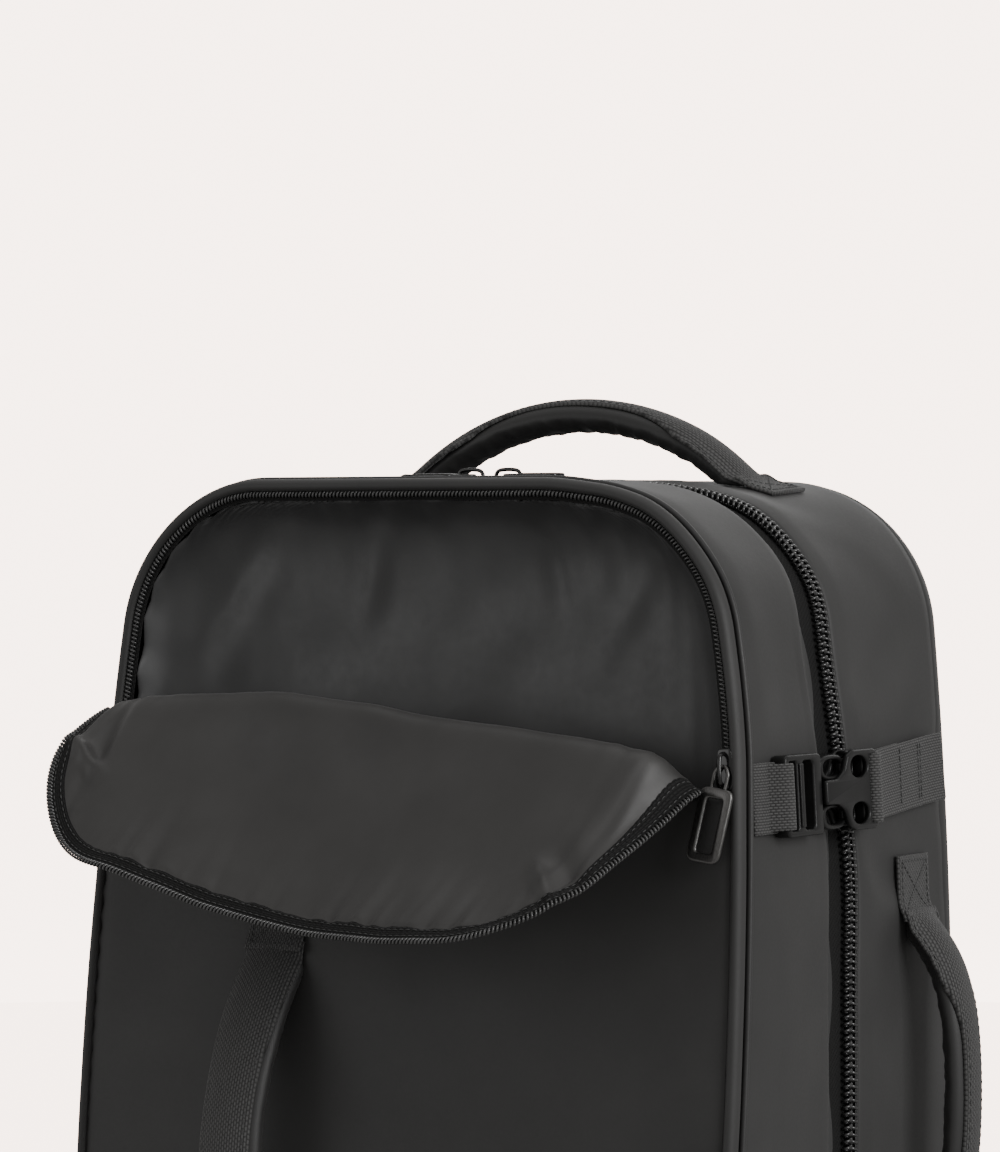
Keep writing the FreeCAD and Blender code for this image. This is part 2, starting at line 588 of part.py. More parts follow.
def make_shoulder_straps():
    low_x = strap_side(STRAP_END_Z, 0)
    tab = box(low_x - LOWER_WEB / 2, low_x + LOWER_WEB / 2, STRAP_FRONT + 4.4, STRAP_FRONT + 6.6,
              LOCK_HIGH + 0.1, STRAP_END_Z - 0.1)
    yoke = box(YOKE_INNER, YOKE_OUTER, BACK + 0.2, BACK + 4.0, YOKE_LOW, YOKE_HIGH)
    pieces = (("shoulder_strap_", shoulder_pad()), ("strap_end_tab_", tab),
              ("ladder_lock_", ladder_lock(low_x)), ("lower_webbing_", lower_webbing(low_x)),
              ("strap_anchor_", strap_anchor()), ("strap_yoke_", yoke))
    for prefix, shape in pieces:
        save(prefix + "right", shape)
        save(prefix + "left", mirrored(shape))


# ---- build --------------------------------------------------------------------------------
os.makedirs(PARTS, exist_ok=True)
made, pivots = {}, {}
make_front_half()
make_flap()
make_rear_half()
make_laptop_sleeve()
make_main_zip()
make_main_sliders()
make_pocket_slider()
make_handles()
make_compression_strap()
make_shoulder_straps()
print(len(made), "nodes")
for key, value in pivots.items():
    print(key, [round(c, 3) for c in value])
for part in fold_axis():
    print("fold axis", [round(c, 5) for c in part])
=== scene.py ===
"""The looks of a travel backpack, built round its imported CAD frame.

Sizes in this script are in millimetres, in the frame's axes: +Z up, -Y the front, +X the right
side seen from the front. They turn into Blender's metres where a mesh is made.
"""

import math

import bmesh
import bpy
import numpy as np
from mathutils import Matrix, Vector, noise
from mathutils.bvhtree import BVHTree


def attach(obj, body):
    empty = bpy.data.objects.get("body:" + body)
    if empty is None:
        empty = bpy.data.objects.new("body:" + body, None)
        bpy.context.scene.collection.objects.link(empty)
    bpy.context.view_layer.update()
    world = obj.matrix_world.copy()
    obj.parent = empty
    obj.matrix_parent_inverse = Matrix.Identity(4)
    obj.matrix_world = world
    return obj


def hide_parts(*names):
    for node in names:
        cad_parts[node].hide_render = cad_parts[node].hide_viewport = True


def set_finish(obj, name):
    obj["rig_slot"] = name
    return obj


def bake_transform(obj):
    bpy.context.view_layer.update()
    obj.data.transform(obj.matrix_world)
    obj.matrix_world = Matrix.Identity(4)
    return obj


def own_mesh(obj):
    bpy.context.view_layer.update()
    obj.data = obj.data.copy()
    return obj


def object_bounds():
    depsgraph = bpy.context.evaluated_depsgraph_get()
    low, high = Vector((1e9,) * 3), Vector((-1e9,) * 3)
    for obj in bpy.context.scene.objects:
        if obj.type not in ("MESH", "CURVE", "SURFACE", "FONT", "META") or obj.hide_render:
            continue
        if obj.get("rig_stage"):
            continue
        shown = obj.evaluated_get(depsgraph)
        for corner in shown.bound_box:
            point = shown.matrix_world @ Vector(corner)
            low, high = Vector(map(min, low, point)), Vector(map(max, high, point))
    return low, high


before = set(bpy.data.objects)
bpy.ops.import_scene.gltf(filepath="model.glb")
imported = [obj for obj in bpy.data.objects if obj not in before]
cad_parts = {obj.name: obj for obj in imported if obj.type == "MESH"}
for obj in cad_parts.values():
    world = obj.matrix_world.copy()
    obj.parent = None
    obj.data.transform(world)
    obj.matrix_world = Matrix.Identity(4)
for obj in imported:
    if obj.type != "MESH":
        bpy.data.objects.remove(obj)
cad_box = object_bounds()

# ---- driving dimensions, the CAD's own -------------------------------------------------------
MM = 0.001
HEIGHT = 450.0
HALF_WIDTH_ENDS, HALF_WIDTH_MIDDLE, BULGE_HEIGHT = 125.5, 138.5, 210.0
TOP_CORNER, BASE_CORNER = 58.0, 34.0
FRONT_AT_BASE, FRONT_AT_BELLY, BELLY_HEIGHT, FRONT_SLOPE = -90.0, -103.5, 135.0, 0.1
BACK, BACK_EDGE_RADIUS, BACK_SEAM = 97.0, 18.0, 78.0
FOLD_LEFT, FOLD_RIGHT, FOLD_SPAN, FLAP_OPEN_ANGLE = 365.0, 340.0, 250.0, 125.0
STRAP_HEIGHT = 338.5
ZIP_END_LOW, ZIP_END_HIGH = 45.0, 385.0
WEBBING, WEBBING_THICK = 25.0, 1.6
LEAN_LEFT, LEAN_RIGHT = 3.6, 1.8
UV_CENTRE = 40.0      # across a tape, its UV runs round this value, so that no row is negative
TO_BACK = (0.0, 1.0, 0.0)
SIDES = (("left", -1), ("right", 1))

# ---- the bag's outline and front face --------------------------------------------------------
MIDDLE_Z = HEIGHT / 2
_rise = MIDDLE_Z ** 2 - (BULGE_HEIGHT - MIDDLE_Z) ** 2
_belly = HALF_WIDTH_MIDDLE - HALF_WIDTH_ENDS
SIDE_CENTRE_X = (HALF_WIDTH_ENDS + HALF_WIDTH_MIDDLE) / 2 - _rise / (2 * _belly)
SIDE_RADIUS = math.hypot(HALF_WIDTH_ENDS - SIDE_CENTRE_X, MIDDLE_Z)
BELLY = FRONT_AT_BASE - FRONT_AT_BELLY
BELLY_RADIUS = (BELLY ** 2 + BELLY_HEIGHT ** 2) / (2 * BELLY)
SLOPE_START = BELLY_HEIGHT + BELLY_RADIUS * math.sin(math.atan(FRONT_SLOPE))


def arc_length(path):
    """Distance along a path at each of its points."""
    return np.concatenate([[0.0], np.cumsum(np.linalg.norm(np.diff(path, axis=0), axis=1))])


def spread(*parts):
    """Numbers and arrays side by side on a new last axis, stretched to one common shape."""
    return np.stack(np.broadcast_arrays(*parts), -1)


def crowded(count, power):
    """Values from -1 to 1 that lie closer together towards both ends."""
    even = np.linspace(-1, 1, count)
    return np.sign(even) * (1 - (1 - abs(even)) ** power)


def closing(even_to, count, fine_count):
    """Values from 0 to 1, even up to even_to and then closer and closer together."""
    fine = np.sin(np.linspace(0, np.pi / 2, fine_count))[1:]
    return np.concatenate([np.linspace(0, even_to, count), even_to + (1 - even_to) * fine])


def corner(radius, centre_z):
    """Centre of an outline corner, and its angle seen from the side circle's centre."""
    x = SIDE_CENTRE_X + math.sqrt((SIDE_RADIUS - radius) ** 2 - (centre_z - MIDDLE_Z) ** 2)
    return x, math.atan2(centre_z - MIDDLE_Z, x - SIDE_CENTRE_X)


BASE_X, BASE_ANGLE = corner(BASE_CORNER, BASE_CORNER)
TOP_X, TOP_ANGLE = corner(TOP_CORNER, HEIGHT - TOP_CORNER)


def half_width(z, grow=0.0):
    """Half width of the outline, grown by grow, at the heights z."""
    z = np.asarray(z, float)
    side = SIDE_CENTRE_X + np.sqrt((SIDE_RADIUS + grow) ** 2 - (z - MIDDLE_Z) ** 2)
    low_rise, high_rise = z - BASE_CORNER, z - (HEIGHT - TOP_CORNER)
    low = BASE_X + np.sqrt(np.maximum((BASE_CORNER + grow) ** 2 - low_rise ** 2, 0.0))
    high = TOP_X + np.sqrt(np.maximum((TOP_CORNER + grow) ** 2 - high_rise ** 2, 0.0))
    side = np.where(low_rise < (BASE_CORNER + grow) * math.sin(BASE_ANGLE), low, side)
    return np.where(high_rise > (TOP_CORNER + grow) * math.sin(TOP_ANGLE), high, side)


def front_y(z):
    """Depth of the plain front face: an arc over the belly and a slope above it."""
    z = np.asarray(z, float)
    arc_z = np.minimum(z, SLOPE_START)
    on_arc = FRONT_AT_BELLY + BELLY_RADIUS - np.sqrt(BELLY_RADIUS ** 2 - (arc_z - BELLY_HEIGHT) ** 2)
    return on_arc + FRONT_SLOPE * (z - arc_z)


def fold_z(x):
    """Height of the slanting line along which the flap folds."""
    return (FOLD_LEFT + FOLD_RIGHT) / 2 - (FOLD_LEFT - FOLD_RIGHT) / FOLD_SPAN * np.asarray(x, float)


def half_outline(step):
    """Points and outward normals from the middle of the base, up the right side, to the top."""
    def arc(cx, cz, radius, a0, a1):
        count = max(int(abs(a1 - a0) * radius / step), 8)
        angle = np.linspace(a0, a1, count, endpoint=False)
        normal = np.stack([np.cos(angle), np.sin(angle)], 1)
        return np.array([cx, cz]) + normal * radius, normal

    def line(x0, x1, z, up):
        count = max(int(abs(x1 - x0) / step), 4)
        x = np.linspace(x0, x1, count, endpoint=False)
        return np.stack([x, np.full(count, z)], 1), np.tile([0.0, up], (count, 1))

    parts = [line(0.0, BASE_X, 0.0, -1.0),
             arc(BASE_X, BASE_CORNER, BASE_CORNER, -math.pi / 2, BASE_ANGLE),
             arc(SIDE_CENTRE_X, MIDDLE_Z, SIDE_RADIUS, BASE_ANGLE, TOP_ANGLE),
             arc(TOP_X, HEIGHT - TOP_CORNER, TOP_CORNER, TOP_ANGLE, math.pi / 2),
             line(TOP_X, 0.0, HEIGHT, 1.0)]
    ends = (np.array([[0.0, HEIGHT]]), np.array([[0.0, 1.0]]))
    return [np.vstack([p[k] for p in parts] + [ends[k]]) for k in (0, 1)]


class Outline:
    """Stations round the whole bag: base, right side, top, left side, with their arc length."""

    def __init__(self, step):
        at, normal = half_outline(step)
        mirror = np.array([-1.0, 1.0])
        self.at = np.vstack([at, at[-2:0:-1] * mirror])
        self.normal = np.vstack([normal, normal[-2:0:-1] * mirror])
        closed = np.vstack([self.at, self.at[:1]])
        self.s = arc_length(closed)
        self.length = self.s[-1]

    def along(self, s):
        """Points and normals at arc lengths s, which may run past either end."""
        s = np.mod(s, self.length)
        found = []
        for values in (self.at, self.normal):
            closed = np.vstack([values, values[:1]])
            found.append(np.stack([np.interp(s, self.s, closed[:, k]) for k in (0, 1)], 1))
        found[1] /= np.linalg.norm(found[1], axis=1, keepdims=True)
        return found

    def length_at(self, left, z):
        """Arc length of the station at height z on the left or right side, between the corners."""
        keep = (self.at[:, 0] < 0) == left
        keep &= (self.at[:, 1] > BASE_CORNER) & (self.at[:, 1] < HEIGHT - TOP_CORNER)
        index = np.flatnonzero(keep)
        return self.s[:-1][index[np.argmin(abs(self.at[index, 1] - z))]]


OUT = Outline(3.0)
ZIP_FROM = OUT.length_at(True, ZIP_END_LOW) - OUT.length
ZIP_TO = OUT.length_at(True, ZIP_END_HIGH)


def edge_distance(x, z, inset=0.0):
    """Distance inwards from the outline inset by inset."""
    at = OUT.at - OUT.normal * inset
    flat = np.stack([np.ravel(x), np.ravel(z)], 1)
    reach = np.linalg.norm(flat[:, None] - at[None], axis=2).min(1)
    return reach.reshape(np.shape(x))


def smooth(t):
    """A soft step from 0 to 1."""
    t = np.clip(t, 0.0, 1.0)
    return t * t * (3 - 2 * t)


def bump(t, width):
    """A bell that is 1 where t is 0."""
    return np.exp(-(np.asarray(t, float) / width) ** 2)


def ripple(grid, size, seed=0.0):
    """Smooth noise from -1 to 1 at each point, with waves about size long."""
    flat = np.reshape(grid, (-1, 3)) / size + seed
    return np.array([noise.noise(p) for p in flat.tolist()]).reshape(np.shape(grid)[:-1])


def lean(points):
    """The front half slumps to the right a little, more along its left side, most at the front."""
    x, y = points[:, 0], points[:, 1]
    moved = points.copy()
    share = LEAN_LEFT * smooth((-40.0 - x) / 70.0)
    share += LEAN_RIGHT * smooth((x - 40.0) / 60.0) * smooth((430.0 - points[:, 2]) / 50.0)
    moved[:, 0] += share * smooth((-12.0 - y) / 50.0)
    return moved


def slump(points):
    """The top right corner sinks down and inwards a little, least at the back."""
    x, y, z = points[..., 0], points[..., 1], points[..., 2]
    moved = points.copy()
    free = smooth((80.0 - y) / 70.0)
    moved[..., 0] -= 3.5 * smooth((z - 350.0) / 60.0) * smooth((x - 70.0) / 50.0) * free
    moved[..., 2] -= 3.5 * smooth((x - 50.0) / 40.0) * smooth((z - 395.0) / 40.0) * free
    return moved


# ---- meshes ----------------------------------------------------------------------------------
class Soup:
    """Gathers surfaces, in millimetres, into one mesh."""

    def __init__(self):
        self.points, self.faces, self.uvs, self.size = [], [], [], 0

    def add(self, grid, around=False, along=False, caps=False, uv=None, flip=False):
        """A surface through grid[i][j]. around joins the last j to the first, along the last i."""
        rows, columns = grid.shape[:2]
        index = np.arange(rows * columns).reshape(rows, columns) + self.size
        wide = np.hstack([index, index[:, :1]]) if around else index
        tall = np.vstack([wide, wide[:1]]) if along else wide
        quads = np.stack([tall[:-1, :-1], tall[:-1, 1:], tall[1:, 1:], tall[1:, :-1]], -1)
        quads = quads.reshape(-1, 4)
        self.faces += (quads[:, ::-1] if flip else quads).tolist()
        if caps:
            self.faces += [index[0].tolist(), index[-1][::-1].tolist()]
        self.points.append(grid.reshape(-1, 3))
        self.uvs.append((np.zeros(grid.shape[:2] + (2,)) if uv is None else uv).reshape(-1, 2))
        self.size += rows * columns
        return self

    def build(self, name, body, material, slot, replaced=(), closed=False, merge=0.0, thick=0.0):
        """Makes the piece: closed turns its faces outwards, thick gives it a thickness."""
        points, uvs = np.vstack(self.points), np.vstack(self.uvs) * MM
        if body == "front":
            points = lean(points)
        if body in ("front", "rear", "top_handle"):
            points = slump(points)
        points = points * MM
        mesh = bpy.data.meshes.new(name)
        mesh.from_pydata(points.tolist(), [], self.faces)
        layer = mesh.uv_layers.new(name="UVMap")
        corners = np.zeros(len(mesh.loops), int)
        mesh.loops.foreach_get("vertex_index", corners)
        layer.data.foreach_set("uv", uvs[corners].ravel())
        if closed or merge:
            work = bmesh.new()
            work.from_mesh(mesh)
            if merge:
                bmesh.ops.remove_doubles(work, verts=work.verts, dist=merge * MM)
            if closed:
                bmesh.ops.recalc_face_normals(work, faces=work.faces)
            work.to_mesh(mesh)
            work.free()
        return finish_piece(name, mesh, body, material, slot, replaced, thick)


def finish_piece(name, mesh, body, material, slot, replaced=(), thick=0.0):
    """Makes the object, dresses it and joins it to its body."""
    mesh.shade_smooth()
    piece = bpy.data.objects.new(name, mesh)
    bpy.context.scene.collection.objects.link(piece)
    mesh.materials.clear()
    mesh.materials.append(material)
    if thick:
        solid = piece.modifiers.new("Thickness", "SOLIDIFY")
        solid.thickness, solid.offset = thick * MM, -1.0
        solid.use_even_offset = False
    if body:
        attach(piece, body)
    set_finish(piece, slot)
    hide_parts(*replaced)
    return piece


def rod(name, body, grid, material, slot, replaced=(), looped=False):
    """A piece from one tube, its ends capped or joined into a loop."""
    soup = Soup().add(grid, around=True, along=looped, caps=not looped)
    return soup.build(name, body, material, slot, replaced, closed=True)


def strap_piece(name, body, laid, replaced=()):
    """A piece of ribbed webbing from its (grid, uv) pairs."""
    soup = Soup()
    for grid, uv in laid:
        soup.add(grid, around=True, caps=True, uv=uv)
    return soup.build(name, body, STRAP_WEB, "webbing", replaced, closed=True)


def apply_modifiers(piece):
    for modifier in list(piece.modifiers):
        with bpy.context.temp_override(object=piece, active_object=piece):
            bpy.ops.object.modifier_apply(modifier=modifier.name)


def ring(grow, depth, at=None, normal=None):
    """grid[station][j] round the outline; grow and depth are given per station, per j, or both."""
    at = OUT.at if at is None else at
    normal = OUT.normal if normal is None else normal
    grow, depth = np.broadcast_arrays(np.asarray(grow, float), np.asarray(depth, float))
    if grow.ndim == 1:
        grow, depth = np.tile(grow, (len(at), 1)), np.tile(depth, (len(at), 1))
    x = at[:, :1] + normal[:, :1] * grow
    z = at[:, 1:] + normal[:, 1:] * grow
    return np.stack([x, depth, z], -1)


def unit(v):
    return v / np.maximum(np.linalg.norm(v, axis=-1, keepdims=True), 1e-9)


def resample(path, step):
    """Points evenly spaced along a path, about step apart, and their arc lengths."""
    s = arc_length(path)
    even = np.linspace(0, s[-1], max(int(round(s[-1] / step)), 2) + 1)
    return np.stack([np.interp(even, s, path[:, k]) for k in range(path.shape[1])], 1), even


def even_loop(path, step):
    """Points evenly spaced round a closed path."""
    return resample(np.vstack([path, path[:1]]), step)[0][:-1]


def tube(path, radius, sides=10, closed=False, wide=1.0):
    """grid of a round tube along path; radius may change along it. wide stretches it sideways."""
    path = np.asarray(path, float)
    if closed:
        tangent = unit(np.roll(path, -1, 0) - np.roll(path, 1, 0))
    else:
        tangent = unit(np.gradient(path, axis=0))
    side = np.zeros_like(path)
    guess = np.array([0.0, 1.0, 0.0]) if abs(tangent[0][1]) < 0.9 else np.array([1.0, 0.0, 0.0])
    for i, t in enumerate(tangent):
        guess = unit(guess - t * (guess @ t))
        side[i] = guess
    other = np.cross(tangent, side)
    angle = np.linspace(0, 2 * np.pi, sides, endpoint=False)
    radius = np.broadcast_to(radius, len(path))[:, None, None]
    return (path[:, None] + radius * (side[:, None] * np.cos(angle)[:, None] * wide
                                      + other[:, None] * np.sin(angle)[:, None]))


def coil(path, outward, pitch, wide, high, wire, phase=0.0):
    """grid of a helix of wire wound about a path, wide across it and high along outward."""
    sides, turn = 5, 11
    even, s = resample(np.hstack([path, np.broadcast_to(outward, path.shape)]), pitch / turn)
    centre, out = even[:, :3], unit(even[:, 3:])
    along = unit(np.gradient(centre, axis=0))
    across = unit(np.cross(along, out))
    angle = 2 * np.pi * s / pitch + phase
    turnpath = centre + across * (wide * np.cos(angle))[:, None] + out * (high * np.sin(angle))[:, None]
    tangent = unit(np.gradient(turnpath, axis=0))
    first = unit(np.cross(tangent, along))
    second = np.cross(tangent, first)
    a = np.linspace(0, 2 * np.pi, sides, endpoint=False)
    round_wire = first[:, None] * np.cos(a)[:, None] + second[:, None] * np.sin(a)[:, None]
    return turnpath[:, None] + wire * round_wire


def strip_uv(s, across):
    """UV of a tape: s along it and across it, in millimetres."""
    return spread(s[:, None], np.asarray(across) + UV_CENTRE)


def strap_grid(path, outward, width, thick):
    """A flat strap with rounded edges along path, and its UV: along and across in millimetres.
    width and thick may change along it."""
    n = len(path)
    along = unit(np.gradient(path, axis=0))
    out = unit(outward - along * np.sum(outward * along, 1, keepdims=True))
    across = np.cross(along, out)
    width = np.broadcast_to(width, n)[:, None]
    thick = np.broadcast_to(thick, n)[:, None]
    face = np.array([-1.0, -0.985, -0.93, -0.8, -0.4, 0.0, 0.4, 0.8, 0.93, 0.985, 1.0])
    swell = np.array([0.3, 0.75, 1.0, 0.93, 0.97, 1.0, 0.97, 0.93, 1.0, 0.75, 0.3])
    a = np.concatenate([face, face[::-1]])
    b = np.concatenate([swell, -swell[::-1]])
    reach, level = a * width / 2, b * thick / 2
    grid = path[:, None] + across[:, None] * reach[..., None] + out[:, None] * level[..., None]
    return grid, strip_uv(arc_length(path), reach)


def stitches(soup, path, outward, long=2.6, gap=1.1, radius=0.26, lift=0.12):
    """A row of small raised thread stitches lying along path on a surface facing outward."""
    even, s = resample(np.hstack([path, np.broadcast_to(outward, path.shape)]), (long + gap) / 8)
    for k in range(int(s[-1] / (long + gap))):
        piece = even[k * 8:k * 8 + int(8 * long / (long + gap)) + 1]
        if len(piece) < 4:
            continue
        t = np.linspace(0, 1, len(piece))
        arch = lift * (1 - (2 * t - 1) ** 4) - radius * 0.4
        centre = piece[:, :3] + unit(piece[:, 3:]) * arch[:, None]
        soup.add(tube(centre, radius * (0.45 + 0.55 * np.sin(np.pi * t) ** 0.5), 5), around=True, caps=True)


def placement(origin, along, outward):
    """A matrix whose X runs along, Y outward and Z across, with its origin in millimetres."""
    u = Vector(along).normalized()
    across = u.cross(Vector(outward)).normalized()
    v = across.cross(u)
    rows = [[u[k], v[k], across[k], origin[k]] for k in range(3)]
    return np.array(rows + [[0, 0, 0, 1.0]])


def place(matrix, points):
    """Points of a local frame, in the bag's frame."""
    return points @ matrix[:3, :3].T + matrix[:3, 3]


def rounded(points, radius, steps=5):
    """A closed polygon with its corners rounded. radius is one number, or one for each corner."""
    points = [np.array(p, float) for p in points]
    radii = np.broadcast_to(radius, len(points))
    made = []
    for i, p in enumerate(points):
        a, b = points[i - 1] - p, points[(i + 1) % len(points)] - p
        la, lb = np.linalg.norm(a), np.linalg.norm(b)
        half = math.acos(np.clip(a @ b / (la * lb), -1, 1)) / 2
        cut = min(radii[i] / max(math.tan(half), 1e-6), 0.49 * la, 0.49 * lb)
        start, end = p + a / la * cut, p + b / lb * cut
        for t in np.linspace(0, 1, steps):
            made.append((1 - t) ** 2 * start + 2 * t * (1 - t) * p + t ** 2 * end)
    return made


def plates(name, parts, matrix, body, material, slot, replaced=(), bevel=0.5):
    """Moulded plates: each part is (outline, holes, low, high) in a local frame, X and Z in the
    plate's plane and Y its thickness, with every edge rounded."""
    work = bmesh.new()
    for outline, holes, low, high in parts:
        curve = bpy.data.curves.new("plate", "CURVE")
        curve.dimensions, curve.fill_mode = "2D", "BOTH"
        edge = min(bevel, (high - low) / 2.2)
        curve.extrude, curve.bevel_depth, curve.bevel_resolution = (high - low) / 2 - edge, edge, 2
        curve.offset = -edge
        for loop in [outline] + list(holes):
            spline = curve.splines.new("POLY")
            spline.points.add(len(loop) - 1)
            for point, (x, z) in zip(spline.points, loop):
                point.co = (x, z, 0, 1)
            spline.use_cyclic_u = True
        holder = bpy.data.objects.new("plate", curve)
        mesh = bpy.data.meshes.new_from_object(holder)
        swap = Matrix(((1, 0, 0, 0), (0, 0, -1, (low + high) / 2), (0, 1, 0, 0), (0, 0, 0, 1)))
        mesh.transform(Matrix(matrix.tolist()) @ swap)
        work.from_mesh(mesh)
        bpy.data.objects.remove(holder)
        bpy.data.curves.remove(curve)
        bpy.data.meshes.remove(mesh)
    bmesh.ops.remove_doubles(work, verts=work.verts, dist=0.005)
    bmesh.ops.recalc_face_normals(work, faces=work.faces)
    bmesh.ops.scale(work, vec=(MM, MM, MM), verts=work.verts)
    made = bpy.data.meshes.new(name)
    work.to_mesh(made)
    work.free()
    piece = finish_piece(name, made, body, material, slot, replaced)
    made.set_sharp_from_angle(angle=math.radians(50))
    return piece


# ---- materials -------------------------------------------------------------------------------
class Paint:
    """Builds one procedural material around its Principled shader."""

    def __init__(self, name, **constants):
        self.material = bpy.data.materials.new(name)
        self.material.use_nodes = True
        self.tree = self.material.node_tree
        self.shader = self.tree.nodes["Principled BSDF"]
        for key, value in constants.items():
            self.shader.inputs[key.replace("_", " ")].default_value = value
        self.where = self.tree.nodes.new("ShaderNodeTexCoord")

    def node(self, kind, inputs=(), **settings):
        made = self.tree.nodes.new("ShaderNode" + kind)
        for key, value in settings.items():
            setattr(made, key, value)
        for key, value in dict(inputs).items():
            if isinstance(value, bpy.types.NodeSocket):
                self.tree.links.new(value, made.inputs[key])
            else:
                made.inputs[key].default_value = value
        return made

    def maths(self, operation, a, b=0.0):
        return self.node("Math", {0: a, 1: b}, operation=operation).outputs[0]

    def noise(self, scale, detail=3.0):
        inputs = {"Vector": self.where.outputs["Object"], "Scale": scale, "Detail": detail, "Roughness": 0.5}
        return self.node("TexNoise", inputs).outputs["Fac"]

    def colour(self, factor, dark, light, low=0.3, high=0.7):
        ramp = self.node("ValToRGB", {"Fac": factor})
        for stop, position, tone in zip(ramp.color_ramp.elements, (low, high), (dark, light)):
            stop.position, stop.color = position, (*tone, 1)
        self.tree.links.new(ramp.outputs[0], self.shader.inputs["Base Color"])

    def roughness(self, factor, low, high):
        spread = self.node("MapRange", {"Value": factor, "To Min": low, "To Max": high}).outputs[0]
        self.tree.links.new(spread, self.shader.inputs["Roughness"])

    def bumps(self, *layers):
        """Each layer is (height, strength, distance in millimetres)."""
        normal = None
        for height, strength, distance in layers:
            inputs = {"Height": height, "Strength": strength, "Distance": distance * MM}
            if normal:
                inputs["Normal"] = normal
            normal = self.node("Bump", inputs).outputs[0]
        self.tree.links.new(normal, self.shader.inputs["Normal"])

    def uv(self, scale_u, scale_v):
        parts = self.node("SeparateXYZ", {0: self.where.outputs["UV"]})
        return [self.maths("MULTIPLY", parts.outputs[k], scale) for k, scale in enumerate((scale_u, scale_v))]


def grey(value, warm=0.0):
    return (value * (1 + warm), value, value * (1 - warm))


def coated_fabric(name, dark, light, rough):
    """Matte polyurethane-coated fabric: a very fine leather-like grain with soft mottling."""
    paint = Paint(name, Specular_IOR_Level=0.4, Sheen_Weight=0.06, Sheen_Roughness=0.5)
    grain = paint.node("TexVoronoi", {"Vector": paint.where.outputs["Object"], "Scale": 1500.0}, feature="F1")
    grain = grain.outputs["Distance"]
    mottle = paint.noise(22.0, 4.0)
    fine = paint.noise(900.0, 4.0)
    paint.colour(mottle, grey(dark, 0.012), grey(light, 0.012))
    paint.roughness(fine, rough - 0.05, rough + 0.08)
    paint.bumps((paint.noise(60.0, 2.0), 0.12, 0.5), (grain, 0.10, 0.10), (fine, 0.10, 0.08))
    return paint.material


def satin(name, dark, light, rough, tint=0.0, specular=0.55):
    """Thin satin lining: a fine plain weave under a soft broad sheen."""
    paint = Paint(name, Specular_IOR_Level=specular, Sheen_Weight=0.09, Sheen_Roughness=0.35)
    where = paint.node("SeparateXYZ", {0: paint.where.outputs["Object"]})
    pitch = 0.45
    weave = []
    for k in (0, 2):
        turns = paint.maths("MULTIPLY", where.outputs[k], 2 * math.pi / (pitch * MM))
        weave.append(paint.maths("SINE", turns))
    crossed = paint.maths("MULTIPLY", *weave)
    slub = paint.noise(260.0, 3.0)
    paint.colour(paint.noise(30.0, 3.0), grey(dark, tint), grey(light, tint))
    paint.roughness(slub, rough - 0.05, rough + 0.08)
    paint.bumps((slub, 0.08, 0.2), (crossed, 0.10, 0.06))
    return paint.material


def woven(name, dark, light, rows, floats, slant=0.5, specular=0.35, sheen=0.12):
    """Webbing or tape: brick-like floats of yarn in rows, laid by the piece's own UV, with painted shade
    between the floats and a painted highlight on their crests.
    """
    paint = Paint(name, Specular_IOR_Level=specular, Sheen_Weight=sheen, Sheen_Roughness=0.4)
    u, v = paint.uv(1 / (floats * MM), 1 / (rows * MM))
    row = paint.maths("FLOOR", v)
    shift = paint.maths("MULTIPLY", row, slant)
    along = paint.maths("FRACT", paint.maths("ADD", u, shift))
    hump = paint.maths("SINE", paint.maths("MULTIPLY", along, math.pi))
    valley = paint.maths("ABSOLUTE", paint.maths("SINE", paint.maths("MULTIPLY", v, math.pi)))
    height = paint.maths("MULTIPLY", paint.maths("POWER", hump, 0.5), valley)
    fuzz = paint.noise(700.0, 4.0)
    # colour from the weave's height: painted shade in the gaps between floats, painted highlight on their
    # crests, plus random fuzz in the yarn's tone
    weave_shade_and_fuzz = paint.maths("ADD", paint.maths("MULTIPLY", height, 0.75), paint.maths("MULTIPLY", fuzz, 0.35))
    paint.colour(weave_shade_and_fuzz, grey(dark, 0.01), grey(light, 0.01), 0.1, 0.95)
    paint.roughness(fuzz, 0.62, 0.8)
    paint.bumps((fuzz, 0.25, 0.15), (height, 0.85, 0.35))
    return paint.material


def moulded(name, dark, light, rough, grain=0.12, coat=0.0, metal=0.0, specular=0.5):
    """Moulded plastic or painted metal with a faint texture and slightly worn highlights."""
    paint = Paint(name, Specular_IOR_Level=specular, Coat_Weight=coat, Coat_Roughness=0.15,
                  Metallic=metal)
    fine = paint.noise(1100.0, 3.0)
    paint.colour(paint.noise(90.0, 3.0), grey(dark), grey(light))
    paint.roughness(fine, rough - 0.05, rough + 0.07)
    paint.bumps((fine, grain, 0.08))
    return paint.material


def brushed(name, dark, light):
    """Brushed gunmetal, its lines along the piece's height."""
    paint = Paint(name, Metallic=1.0, Specular_IOR_Level=0.5)
    fine, long = 4000.0, 120.0
    where = paint.node("Mapping", {"Vector": paint.where.outputs["Object"], "Scale": (fine, fine, long)})
    lines = paint.node("TexNoise", {"Vector": where.outputs[0], "Scale": 1.0, "Detail": 2.0}).outputs["Fac"]
    paint.colour(lines, grey(dark, 0.02), grey(light, 0.02))
    paint.roughness(lines, 0.28, 0.45)
    paint.bumps((lines, 0.15, 0.05))
    return paint.material


